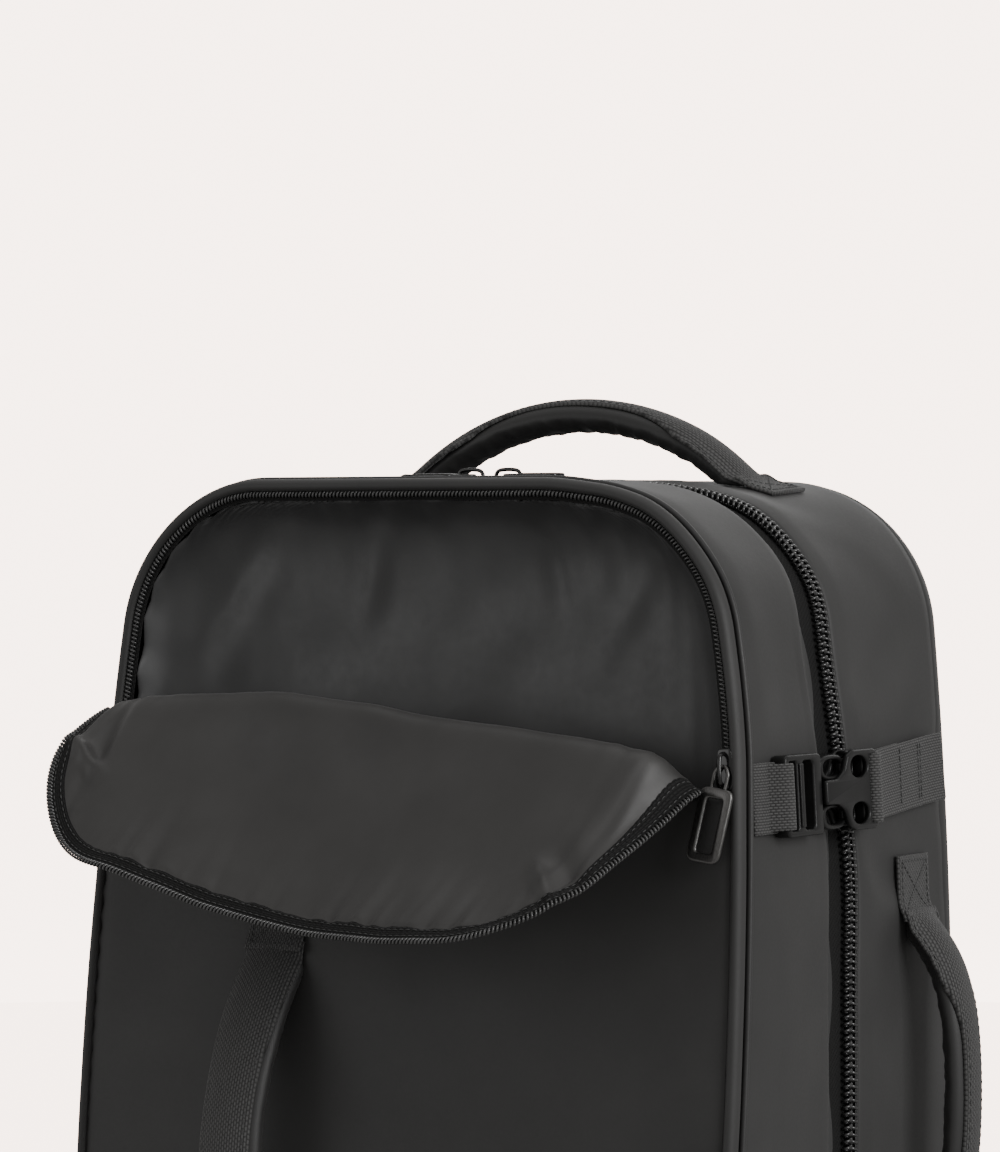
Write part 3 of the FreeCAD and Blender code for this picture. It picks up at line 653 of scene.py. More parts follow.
def spacer_mesh(name, dark, light):
    """Three-dimensional spacer mesh: rows of small open cells, their hollows darkened with painted shade."""
    paint = Paint(name, Specular_IOR_Level=0.25, Sheen_Weight=0.2, Sheen_Roughness=0.5)
    inputs = {"Vector": paint.where.outputs["Object"], "Scale": 330.0, "Randomness": 0.25}
    cells = paint.node("TexVoronoi", inputs, feature="DISTANCE_TO_EDGE").outputs["Distance"]
    inputs = {"Value": cells, "From Min": 0.02, "From Max": 0.28, "To Min": 1.0, "To Max": 0.0}
    wall = paint.node("MapRange", inputs).outputs[0]
    # the cells' hollows take the dark colour and their raised walls the light one: painted shade in the
    # hollows
    paint.colour(wall, grey(dark), grey(light), 0.1, 0.8)
    paint.roughness(wall, 0.95, 0.75)
    paint.bumps((paint.noise(1200.0), 0.2, 0.1), (wall, 0.9, 0.6))
    return paint.material


SHELL = coated_fabric("coated_shell", 0.026, 0.034, 0.56)
EDGING = coated_fabric("coated_edging", 0.022, 0.029, 0.48)
FLAP_LINING = satin("satin_flap_lining", 0.031, 0.041, 0.48, 0.03, 0.5)
POCKET_LINING = satin("satin_pocket_lining", 0.034, 0.046, 0.44, -0.01)
INNER_LINING = satin("satin_inner_lining", 0.030, 0.042, 0.50, 0.0)
# ribbed webbing: its dark end is painted shade between the floats, its light end a painted highlight on their
# crests
STRAP_WEB = woven("ribbed_webbing", 0.012, 0.094, 1.0, 1.9)
# twill tape near black: partly the tape's own black, partly painted shade of its recess under the front
# gusset's hem
TWILL = woven("twill_zip_tape", 0.003, 0.014, 0.8, 2.2, slant=0.33, specular=0.2, sheen=0.03)
TEETH = moulded("nylon_teeth", 0.018, 0.026, 0.18, 0.05, coat=0.6)
# the pocket zip's fine teeth: a lighter copy of the nylon teeth, its raised base colour a painted glint, the
# glints of its coat real
GLINT_PAINTED_FINE_TEETH = moulded("nylon_fine_teeth_painted_glints", 0.045, 0.075, 0.24, 0.05, coat=0.4)
ACETAL = moulded("acetal_buckle", 0.006, 0.010, 0.36, specular=0.35)
GLOSS_METAL = moulded("gloss_black_metal", 0.015, 0.02, 0.18, 0.04, coat=0.6, metal=0.6)
GUNMETAL = brushed("brushed_gunmetal", 0.10, 0.17)
THREAD = moulded("sewing_thread", 0.045, 0.065, 0.62)
# spacer mesh: its dark tone is the painted shade in the open cells
MESH_CLOTH = spacer_mesh("spacer_mesh", 0.008, 0.07)


# ---- camera, lights and stage ----------------------------------------------------------------
AIM = Vector((-10.7, 0.0, 415.0)) * MM      # a point on the camera's middle line
CAMERA_AZIMUTH, CAMERA_ELEVATION = 31.0, 0.5      # degrees to the right of the front, and up
CAMERA_DISTANCE, CAMERA_LENS = 1.7026, 140.6      # metres from AIM, and millimetres
FLOOR_DROP, FLOOR_RADIUS, SWEEP, BACKDROP_TOP, FLOOR_SIDES = -0.4, 5000.0, 1200.0, 6000.0, 64
ROOM_MIDDLE = (0, 0, 0.3)


def make_camera():
    azimuth, elevation = math.radians(CAMERA_AZIMUTH), math.radians(CAMERA_ELEVATION)
    level = math.cos(elevation)
    back = Vector((math.sin(azimuth) * level, -math.cos(azimuth) * level, math.sin(elevation)))
    camera = bpy.data.objects.new("camera", bpy.data.cameras.new("camera"))
    camera.data.sensor_width = 36.0
    camera.data.lens = CAMERA_LENS
    camera.data.clip_end = 50.0
    camera.location = AIM + back * CAMERA_DISTANCE
    camera.rotation_mode = "QUATERNION"
    camera.rotation_quaternion = (-back).to_track_quat("-Z", "Y")
    bpy.context.scene.collection.objects.link(camera)
    bpy.context.scene.camera = camera


def area_light(name, location, target, size, watts):
    """A white rectangular light; places and sizes in metres."""
    light = bpy.data.lights.new(name, "AREA")
    light.shape, light.size, light.size_y = "RECTANGLE", size[0], size[1]
    light.energy, light.color = watts, (1.0, 1.0, 1.0)
    holder = bpy.data.objects.new(name, light)
    holder.location = location
    holder.rotation_mode = "QUATERNION"
    holder.rotation_quaternion = (Vector(target) - Vector(location)).to_track_quat("-Z", "Y")
    bpy.context.scene.collection.objects.link(holder)


def make_stage():
    """A pale floor that sweeps up into a backdrop all round, and soft studio lights."""
    profile = [(FLOOR_RADIUS * 0.5, FLOOR_DROP)]
    profile += [(FLOOR_RADIUS + SWEEP * math.sin(a), FLOOR_DROP + SWEEP * (1 - math.cos(a)))
                for a in np.linspace(0, math.pi / 2, 10)]
    profile.append((FLOOR_RADIUS + SWEEP, BACKDROP_TOP))
    turns = np.linspace(0, 2 * np.pi, FLOOR_SIDES, endpoint=False)
    grid = np.array([[(r * math.cos(t), r * math.sin(t), z) for t in turns] for r, z in profile])
    paint = Paint("stage_paper", Specular_IOR_Level=0.0)
    paper = paint.noise(3.0, 2.0)
    paint.colour(paper, (0.83, 0.80, 0.765), (0.85, 0.82, 0.785))
    paint.roughness(paper, 0.9, 1.0)
    paint.shader.inputs["Emission Color"].default_value = (1.0, 0.80, 0.70, 1)
    paint.shader.inputs["Emission Strength"].default_value = 6.3
    soup = Soup().add(grid, around=True)
    soup.faces.append(list(range(FLOOR_SIDES)))
    floor = soup.build("stage_floor", None, paint.material, "shell")
    del floor["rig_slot"]
    floor["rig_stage"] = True
    floor.visible_diffuse, floor.visible_glossy = False, False
    world = bpy.data.worlds.new("studio")
    world.use_nodes = True
    sky = world.node_tree.nodes["Background"].inputs
    sky["Color"].default_value, sky["Strength"].default_value = (1.0, 0.98, 0.96, 1), 0.42
    bpy.context.scene.world = world
    area_light("key_right", (3.1, -0.5, 1.5), (0, 0, 0.28), (1.8, 1.8), 74)
    area_light("fill_left", (-2.2, -2.6, 0.9), ROOM_MIDDLE, (2.2, 2.0), 15)
    area_light("top_soft", (0.1, 0.2, 2.6), ROOM_MIDDLE, (2.0, 2.0), 8)
    area_light("back_soft", (-0.6, 2.6, 1.4), ROOM_MIDDLE, (2.2, 1.6), 16)


# ---- front half: face, piping, gusset ----------------------------------------------------------
TOP_HANDLE_Y = 44.0
SIDE_HANDLE_Y, SIDE_HANDLE_Z = 50.0, 225.0
FRONT_HANDLE_X, FRONT_HANDLE_Z = -49.6, 205.0
RIM = [(-3.0, 3.6), (-3.3, 2.2), (-3.2, 0.8), (-2.6, -0.3), (-1.6, -0.8), (-0.5, -0.5), (0.4, 0.4),
       (1.0, 1.6), (1.2, 2.9), (1.1, 4.1), (0.6, 5.2), (-0.3, 6.0), (-1.3, 6.5)]   # (grow, behind the face)
PIPE_BEHIND, PIPE_RADIUS = 7.8, 1.35
TAPE_SHOWS_TO = -20.5     # where the front gusset's hem leaves the zip tape showing


def zip_shift(s):
    """How far the closing line wanders along Y: pulled forward over the strap, back under it."""
    at, _ = OUT.along(s)
    right = smooth(at[:, 0] / 60.0)
    return right * (3.2 * bump(at[:, 1] - 306.0, 30.0) - 2.6 * bump(at[:, 1] - 372.0, 40.0))


def pinch(grid):
    """1 under the compression strap on the right side, 0 away from it."""
    return smooth(grid[..., 0] / 100.0) * smooth(1.9 - abs(grid[..., 2] - STRAP_HEIGHT) / 14.0)


def on_floor(grid):
    """Keeps a grid off the ground under the base."""
    grid[..., 2] = np.maximum(grid[..., 2], 0.05)
    return grid


def face_sink(x, z):
    """How far the lower front's cloth lies behind the plain front face: a groove along the rim
    and a soft padded belly."""
    flat = spread(x, 0.0, z)
    edge = np.minimum(edge_distance(x, z, 3.0), 60.0)
    groove = 2.2 * np.exp(-edge / 1.6)
    puff = 2.2 * smooth(edge / 55.0) * smooth((345.0 - z) / 120.0)
    soft = ripple(flat, 75.0, 11.0) * 1.1 + ripple(flat, 30.0, 4.0) * 0.25
    return groove - puff - soft * smooth(edge / 20.0)


def make_front_face():
    rim = ring([g for g, _ in RIM], 0.0)
    rim[..., 1] = front_y(rim[..., 2]) + np.array([d for _, d in RIM])
    rim[..., 1] += ripple(rim, 26.0, 3.0) * 0.25
    Soup().add(on_floor(rim), along=True).build("front_rim", "front", SHELL, "shell", thick=1.2)

    rows = np.concatenate([[0, 0.002, 0.006, 0.012], np.linspace(0.02, 0.985, 78), [0.992, 1.0]])
    grid = face_grid(3.0, lambda x: fold_z(x) - 0.3, 3.0, rows, crowded(97, 1.35))
    grid[..., 1] += face_sink(grid[..., 0], grid[..., 2])
    Soup().add(grid).build("front_face", "front", SHELL, "shell", ["front_panel"], thick=1.2)


def face_grid(low, high, inset, rows, columns):
    """grid[row][column] over the front face inside the outline, between two heights. Either
    height may be a function of x."""
    v, u = np.meshgrid(rows, columns, indexing="ij")
    x = u * 120.0
    for _ in range(4):
        bottom = low(x) if callable(low) else low
        top = high(x) if callable(high) else high
        z = bottom + (top - bottom) * v
        x = u * half_width(z, -inset)
    return np.stack([x, front_y(z), z], -1)


def make_piping():
    path = ring([0.7], 0.0)[:, 0]
    path[:, 1] = front_y(path[:, 2]) + PIPE_BEHIND
    path[:, 2] = np.maximum(path[:, 2], PIPE_RADIUS)
    grid = on_floor(tube(path, PIPE_RADIUS, 10, closed=True))
    rod("front_piping_cord", "front", grid, EDGING, "piping", ["front_piping"], looped=True)


def hem_line():
    """Depth of the front gusset's hem at each station: wavy where the tape shows, and at the
    closing plane along the fabric hinge."""
    s = OUT.s[:-1]
    inside = smooth((s - ZIP_TO + 70) / 84) * smooth((OUT.length + ZIP_FROM + 70 - s) / 84)
    path = spread(OUT.at[:, 0], 0.0, OUT.at[:, 1])
    wavy = TAPE_SHOWS_TO + ripple(path, 55.0, 8.0) * 1.2
    wavy += 2.2 * bump(path[:, 2] - 423, 16) * (path[:, 0] > 0)
    wavy -= 1.6 * bump(path[:, 0] - 96, 14) * (path[:, 2] > 420)
    return wavy * (1 - inside) - 4.2 * inside + zip_shift(s)


def under_feet(grid):
    """1 under the stitched ends of the top and side handles."""
    x, y, z = grid[..., 0], grid[..., 1], grid[..., 2]
    top = np.hypot(abs(x) - 85.0, y - TOP_HANDLE_Y) + 100.0 * (z < 400)
    side = np.hypot(abs(z - SIDE_HANDLE_Z) - 76.0, y - SIDE_HANDLE_Y) + 100.0 * (x < 0)
    return smooth((34.0 - np.minimum(top, side)) / 16.0)


def shell_bulge(grid, size, seed, amount=1.5):
    """Soft unevenness of the side panels, held flat under the strap and near the floor."""
    free = (1 - pinch(grid)) * (1 - under_feet(grid)) * smooth((grid[..., 2] - 6.0) / 40.0)
    return free * (amount * 0.55 * (1 + ripple(grid, size, seed)) + 0.35 * ripple(grid, 24.0, seed + 5))


def make_front_gusset():
    """Cloth from a tuck under the rim back to the hem, with a lip turned in at the zip."""
    hem = hem_line()[:, None]
    start = (front_y(OUT.at[:, 1]) + PIPE_BEHIND + 0.6)[:, None]
    t = np.concatenate([[0.0, 0.015, 0.04], np.linspace(0.08, 0.95, 18), [0.98, 1.0]])
    depth = start + (hem - start) * t
    grid = ring(np.zeros(len(t)), 0.0)
    grid[..., 1] = depth
    grow = -1.5 * np.exp(-(depth - start) / 1.2)
    grow = grow + shell_bulge(grid, 60.0, 21.0) * smooth(t / 0.25) * smooth((1 - t) / 0.12)
    grow = grow + 0.7 * bump((1 - t) * 70.0 - 2.5, 2.6)
    lip_depth = np.hstack([hem + 0.5, hem + 0.3, hem - 1.5, hem - 6.0])
    lip_grow = np.tile([-0.5, -1.9, -3.0, -3.6], (len(hem), 1))
    tuck_depth = np.hstack([start - 4.2, start - 2.4, start - 0.8])
    tuck_grow = np.tile([-2.3, -2.1, -1.9], (len(hem), 1))
    grid = ring(np.hstack([tuck_grow, grow, lip_grow]), np.hstack([tuck_depth, depth, lip_depth]))
    soup = Soup().add(on_floor(grid), along=True)
    soup.build("front_gusset_cloth", "front", SHELL, "shell", ["front_gusset"])


# ---- rear half ---------------------------------------------------------------------------------
# soft folds of the side panels: (height, (from, to, width))
DENTS = [(-1.7, ((96, 12, 431), (122, 46, 405), 7.0)), (1.2, ((88, 16, 440), (124, 60, 412), 8.0)),
         (-1.3, ((133, 8, 372), (130, 50, 392), 7.0)), (-1.4, ((137, 10, 318), (136, 44, 300), 8.0)),
         (1.0, ((137, 14, 300), (137, 52, 286), 8.0)), (-1.2, ((137, 12, 352), (135, 60, 366), 7.0)),
         (-1.4, ((-110, 12, 425), (-128, 50, 396), 8.0)), (-1.3, ((40, 14, 450), (72, 52, 449), 7.0))]


def near_line(points, a, b, width, ends, power):
    """1 along the straight line from a to b, fading over width and towards its ends."""
    a, b = np.array(a, float), np.array(b, float)
    run = b - a
    t = np.clip(((points - a) @ run) / (run @ run), 0, 1)
    gap = np.linalg.norm(points - (a + t[..., None] * run), axis=-1)
    return bump(gap, width) * np.sin(np.pi * np.clip(t, ends, 1 - ends)) ** power


def inward_rings(start, depth, first, count):
    """Rings that close an opening inwards from its edge to an upright line in the middle."""
    spine = spread(0.0, depth, np.clip(start[:, 2], 110, 350))
    return np.stack([start + (spine - start) * t for t in np.linspace(first, 1.0, count)], 1)


def make_rear_shell():
    s = OUT.s[:-1]
    shift = zip_shift(s)[:, None]
    lip = [(-3.2, 9.0), (-3.0, 5.6), (-2.2, 4.7), (-1.1, 4.4), (-0.3, 5.0), (0.0, 6.4)]
    wall = [(0.0, y) for y in np.linspace(8.5, BACK_SEAM - 1.2, 20)]
    seam = [(-0.2, BACK_SEAM - 0.8), (-0.7, BACK_SEAM), (-0.2, BACK_SEAM + 0.8)]
    radius = BACK_EDGE_RADIUS
    bend = [(-radius + radius * math.cos(a), BACK - radius + radius * math.sin(a))
            for a in np.linspace(0.0, math.pi / 2, 12)[1:]]
    flat = [(-radius - 5, BACK), (-radius - 8, BACK - 0.3)]
    profile = np.array(lip + wall + seam + bend + flat)
    follow = smooth((30.0 - profile[:, 1]) / 24.0)[None]
    depth = profile[:, 1][None] + shift * follow
    grow = np.tile(profile[:, 0], (len(s), 1))
    grid = ring(grow, depth)
    t = smooth((profile[:, 1] - 5.0) / 9.0) * smooth((BACK_SEAM + 6 - profile[:, 1]) / 8.0)
    grow = grow + shell_bulge(grid, 70.0, 51.0, 1.7) * t
    grow += t * sum(height * near_line(grid, *line, 0.04, 0.6) for height, line in DENTS)
    grid = on_floor(ring(grow, depth))
    Soup().add(grid, along=True).build("rear_gusset_cloth", "rear", SHELL, "shell", ["rear_gusset"])
    inner = grid[:, -1]
    face = np.concatenate([inner[:, None], inward_rings(inner, BACK, 0.04, 16)], 1)
    face[..., 1] = BACK - 0.3 + ripple(face, 60.0, 71.0) * 0.5 - 0.5
    Soup().add(face, along=True).build("back_panel_cloth", "rear", SHELL, "shell", ["back_panel"], merge=0.05)


# ---- main zip ------------------------------------------------------------------------------------
COIL_PITCH, COIL_WIDE, COIL_HIGH, COIL_WIRE = 2.5, 1.9, 1.35, 0.62
COIL_SINK, COIL_ASIDE = -1.55, 2.15      # the coil's middle, under the outline and beside the closing line
# half of the main zip's tape, from the teeth outwards: (across, level)
TAPE_SECTION = np.array([(0.4, -3.6), (1.5, -3.6), (3.0, -3.5), (4.2, -3.3), (7.0, -3.5), (10.5, -3.7),
                         (14.0, -3.9), (18.0, -4.1)])
# half of the side hinge's band, from its edge to its fold: (across, level)
HINGE_SECTION = np.array([(7.5, -1.9), (6.0, -1.5), (4.6, -0.9), (3.0, -0.6), (1.2, -0.5)])


def zip_stations(step):
    s = np.linspace(ZIP_FROM, ZIP_TO, int((ZIP_TO - ZIP_FROM) / step))
    return s, *OUT.along(s)


def zip_line(step, grow, across):
    """A line along the zip, raised by grow and set to one side of the closing line, and its
    outward side."""
    s, at, normal = zip_stations(step)
    path = ring([grow], 0.0, at, normal)[:, 0]
    path[:, 1] = zip_shift(s) + across
    return path, spread(normal[:, 0], 0.0, normal[:, 1])


def make_main_zip():
    for side, sign, phase in (("front", -1.0, math.pi), ("rear", 1.0, 0.0)):
        name = "main_zip_" + side
        path, out = zip_line(1.0, COIL_SINK, sign * COIL_ASIDE)
        grid = on_floor(coil(path, out, COIL_PITCH, COIL_WIDE * sign, COIL_HIGH, COIL_WIRE, phase))
        rod(name + "_teeth", side, grid, TEETH, "zip_teeth", [name + "_coil"])
        s, at, normal = zip_stations(2.5)
        across, level = TAPE_SECTION.T
        depth = zip_shift(s)[:, None] + sign * across[None]
        grid = ring(level + 0.15 * np.sin(s / 9.0)[:, None] * (across > 5), depth, at, normal)
        soup = Soup().add(grid, uv=strip_uv(s, across), flip=sign < 0)
        soup.build(name + "_band", side, TWILL, "zip_tape", [name + "_tape"], thick=0.6)
        thread = Soup()
        for reach in (1.7, 2.7):
            path, out = zip_line(3.0, -0.15, sign * reach)
            stitches(thread, path, out, 2.0, 0.5, 0.22, 0.15)
        thread.points = [on_floor(p) for p in thread.points]
        thread.build(name + "_sewing", side, THREAD, "zip_tape", closed=True)


def make_side_hinge():
    """The grosgrain band that joins the two halves on the left side."""
    s = np.linspace(ZIP_TO - 3, OUT.length + ZIP_FROM + 3, 140)
    at, normal = OUT.along(s)
    y, level = np.vstack([HINGE_SECTION, HINGE_SECTION[::-1] * (-1, 1)]).T
    grid = ring(level + 0.12 * np.sin(s / 5.0)[:, None], y, at, normal)
    piece = Soup().add(grid, uv=strip_uv(s, y)).build("side_hinge_band", None, TWILL, "webbing",
                                                      ["side_hinge_fabric"], thick=0.8)
    apply_modifiers(piece)
    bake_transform(piece)


# ---- pocket --------------------------------------------------------------------------------------
TEETH_INSET, FLAP_TEETH_INSET = 4.5, 8.0
SMALL_PITCH, SMALL_WIDE, SMALL_HIGH, SMALL_WIRE = 1.55, 0.95, 0.75, 0.42


def pocket_path(inset, behind, lift, step):
    """Points along the pocket's U, from lift above the fold line on the right to the left."""
    s = np.linspace(0, OUT.length, int(OUT.length / step))
    at, normal = OUT.along(s)
    x, z = at[:, 0] - normal[:, 0] * inset, at[:, 1] - normal[:, 1] * inset
    keep = z > fold_z(x) + lift
    return np.column_stack([x, front_y(z) + behind, z])[keep]


def pocket_paths(insets, behind, lift, step):
    """Paths along the pocket's U at several insets, all with the same number of points."""
    paths = [pocket_path(i, b, lift, step) for i, b in zip(insets, np.broadcast_to(behind, len(insets)))]
    share = np.linspace(0, 1, min(len(p) for p in paths))
    own = [np.linspace(0, 1, len(p)) for p in paths]
    return [np.stack([np.interp(share, o, p[:, k]) for k in range(3)], 1) for o, p in zip(own, paths)]


def small_teeth(name, body, path, outward, replaced):
    grid = coil(path, outward, SMALL_PITCH, SMALL_WIDE, SMALL_HIGH, SMALL_WIRE)
    return rod(name, body, grid, GLINT_PAINTED_FINE_TEETH, "zip_teeth", replaced)


def make_pocket_rim():
    small_teeth("pocket_zip_fixed_teeth", "front", pocket_path(TEETH_INSET, 1.5, 3.0, 0.5),
                (0.0, -0.995, 0.0995), ["pocket_zip_fixed_chain"])
    insets = np.array([1.8, 2.6, 3.4, 4.1, 4.8, 5.8, 6.9])
    grid = np.stack(pocket_paths(insets, 2.4 + 0.08 * abs(insets - 5), 1.0, 2.0), 1)
    s = np.linspace(0, 1, len(grid)) * OUT.length * 0.33
    soup = Soup().add(grid, uv=strip_uv(s, insets))
    soup.build("pocket_zip_fixed_band", "front", TWILL, "zip_tape", thick=0.5)


def crease(grid, a, b, width):
    """1 along the line from a to b on the front face, in (x, z), fading over width."""
    return near_line(spread(grid[..., 0], grid[..., 2]), a, b, width, 0.03, 0.5)


# long folds of the pocket lining: (height, from, to, width), with places in (x, z)
LINING_FOLDS = [(1.3, (-124, 372), (-72, 441), 6.0), (-1.0, (-108, 366), (-60, 438), 7.0),
                (-1.6, (-20, 441), (-34, 396), 5.0), (1.4, (40, 441), (52, 402), 5.0),
                (-1.5, (96, 430), (64, 380), 6.0)]


def make_pocket_lining():
    """The lining inside the pocket: gathered along the zip and slack across the middle."""
    inset = 6.7
    grid = face_grid(250.0, HEIGHT - inset, inset, closing(0.72, 40, 26), crowded(141, 1.5))
    x, z = grid[..., 0].copy(), grid[..., 2].copy()
    edge = edge_distance(x, z, inset)
    edge = np.where(z > 300, edge, np.minimum(edge, half_width(z, -inset) - abs(x)))
    depth = 2.6 + 17.0 * (1 - np.exp(-edge / 9.0)) + 4.0 * smooth(edge / 70.0)
    across = ripple(spread(x, 0.0, 30 + z * 0.12), 9.0, 2.0)
    gathers = 2.8 * across * np.exp(-edge / 16.0) * smooth(edge / 1.5) * (z > 330)
    slack = 2.2 * ripple(grid, 52.0, 31.0) + 0.8 * ripple(grid, 21.0, 37.0)
    lines = sum(height * crease(grid, a, b, width) for height, a, b, width in LINING_FOLDS)
    grid[..., 1] += depth + (slack + lines) * smooth(edge / 14.0) + gathers
    soup = Soup().add(grid)
    piece = soup.build("pocket_lining_cloth", "front", POCKET_LINING, "lining", ["pocket_divider"], thick=0.8)


# ---- pocket flap ---------------------------------------------------------------------------------
_left = np.array([-FOLD_SPAN / 2, float(front_y(FOLD_LEFT)), FOLD_LEFT])
_right = np.array([FOLD_SPAN / 2, float(front_y(FOLD_RIGHT)), FOLD_RIGHT])
FOLD_POINT, FOLD_AXIS = (_left + _right) / 2, unit(_right - _left)
CLOSED_OUT = unit(np.array([0.0, -1.0, FRONT_SLOPE]))


def swing(points, degrees, vector=False):
    """Turns closed-flap points about the fold line."""
    a = math.radians(degrees)
    v = points - (0.0 if vector else FOLD_POINT)
    k = FOLD_AXIS
    turned = v * math.cos(a) + np.cross(np.broadcast_to(k, v.shape), v) * math.sin(a)
    turned = turned + (v @ k)[..., None] * k * (1 - math.cos(a))
    return turned + (0.0 if vector else FOLD_POINT)


def flap_lift(x, z):
    """How far the open flap's cloth stands off its flat plane, towards the lining side: a soft
    roll at the fold, a droop towards the edge, a dart and puckers by the zip tape."""
    d = np.maximum(z - fold_z(x), 0.0)
    side = x / 125.0
    flat = spread(x, 0.0, z)
    edge = np.minimum(edge_distance(x, z, 7.4), 80.0)
    crest = 24.5 - 16.0 * (np.maximum(-side - 0.1, 0.0) / 0.86) ** 2 - 2.0 * np.maximum(side, 0.0)
    roll = crest * (d / 13.0) * np.exp(1 - d / 13.0) * (0.25 + 0.75 * smooth(edge / 16.0))
    droop = 18.5 * bump(x, np.where(x < 0, 112.0, 84.0)) * (np.maximum(d - 14.0, 0) / 75.0) ** 1.5
    corner_curl = 5.0 * bump(np.hypot(x + 124.0, z - 400.0), 26.0)
    corner_curl -= 6.0 * bump(np.hypot(x + 100.0, z - 444.0), 22.0)
    waves = (2.2 * ripple(flat, 62.0, 91.0) + 0.9 * ripple(flat, 25.0, 97.0)) * smooth(d / 12.0)
    run = spread(x, 0.0, 0.1 * z)
    near = np.exp(-np.maximum(edge - 6.0, 0) / 15.0) * smooth((edge - 4.6) / 3.5)
    gathers = (2.3 * ripple(run, 6.0, 17.0) + 1.3 * ripple(run, 3.2, 29.0) * np.exp(-edge / 14.0)) * near
    dart = 2.8 * crease(flat, (114, 417), (96, 400), 3.0) - 2.0 * crease(flat, (120, 407), (101, 392), 4.5)
    left = 3.6 * crease(flat, (-121, 398), (-98, 409), 3.0)
    left -= 3.6 * crease(flat, (-110, 372), (-100, 424), 5.0)
    return roll - droop + corner_curl + waves + gathers + dart + left


def flap_points(x, z, above):
    """Points of the open flap: above is the height over its outer cloth."""
    closed = slump(spread(x, front_y(z), z))
    lift = flap_lift(x, z) + above
    return swing(closed - CLOSED_OUT * lift[..., None], FLAP_OPEN_ANGLE)


TAPE_LENGTH = 410.0


def make_flap():
    rows, columns = closing(0.66, 44, 34), crowded(161, 1.3)
    made = []
    for name, inset, above, material in (("flap_lining_cloth", 12.6, 1.5, FLAP_LINING),
                                         ("flap_outer_cloth", 11.0, 0.0, SHELL)):
        grid = face_grid(fold_z, HEIGHT - inset, inset, rows, columns)
        x, z = grid[..., 0], grid[..., 2]
        edge = edge_distance(x, z, inset)
        tuck = 0.9 * np.exp(-edge / 0.9) * (1 if above else -0.6)
        soup = Soup().add(flap_points(x, z, above - tuck), flip=above > 0)
        made.append(soup.build(name, "flap", material, "flap", ["pocket_flap"] if above else [], thick=0.6))
    band = np.array([14.6, 13.8, 13.0, 11.6, 10.4, 9.3, 8.3])
    rise = np.array([1.6, 2.4, 2.6, 2.5, 2.5, 2.4, 2.2])
    grid = np.stack([flap_points(path[:, 0], path[:, 2], up - 1.0)
                     for path, up in zip(pocket_paths(band, 0.0, 3.0, 1.5), rise)], 1)
    s = np.linspace(0, 1, len(grid)) * TAPE_LENGTH
    tape = Soup().add(grid, uv=strip_uv(s, band), flip=True).build("flap_zip_band", "flap", TWILL, "zip_tape",
                                                                   thick=0.7)
    axis = swing(-CLOSED_OUT, FLAP_OPEN_ANGLE, vector=True)
    path = pocket_path(FLAP_TEETH_INSET, 0.0, 6.0, 0.5)
    teeth = small_teeth("flap_zip_teeth", "flap", flap_points(path[:, 0], path[:, 2], 1.2), axis,
                        ["pocket_zip_flap_chain"])
    thread = Soup()
    for inset, above in ((12.5, 1.75), (9.9, 1.65)):
        path = pocket_path(inset, 0.0, 4.0, 1.2)
        stitches(thread, flap_points(path[:, 0], path[:, 2], above), axis, 2.0, 0.8, 0.2, 0.15)
    sewing = thread.build("flap_stitching", "flap", THREAD, "webbing", closed=True)
    for piece in made + [tape, teeth, sewing]:
        apply_modifiers(piece)
        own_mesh(piece)


# ---- handles -------------------------------------------------------------------------------------
HANDLE_START = 6.2


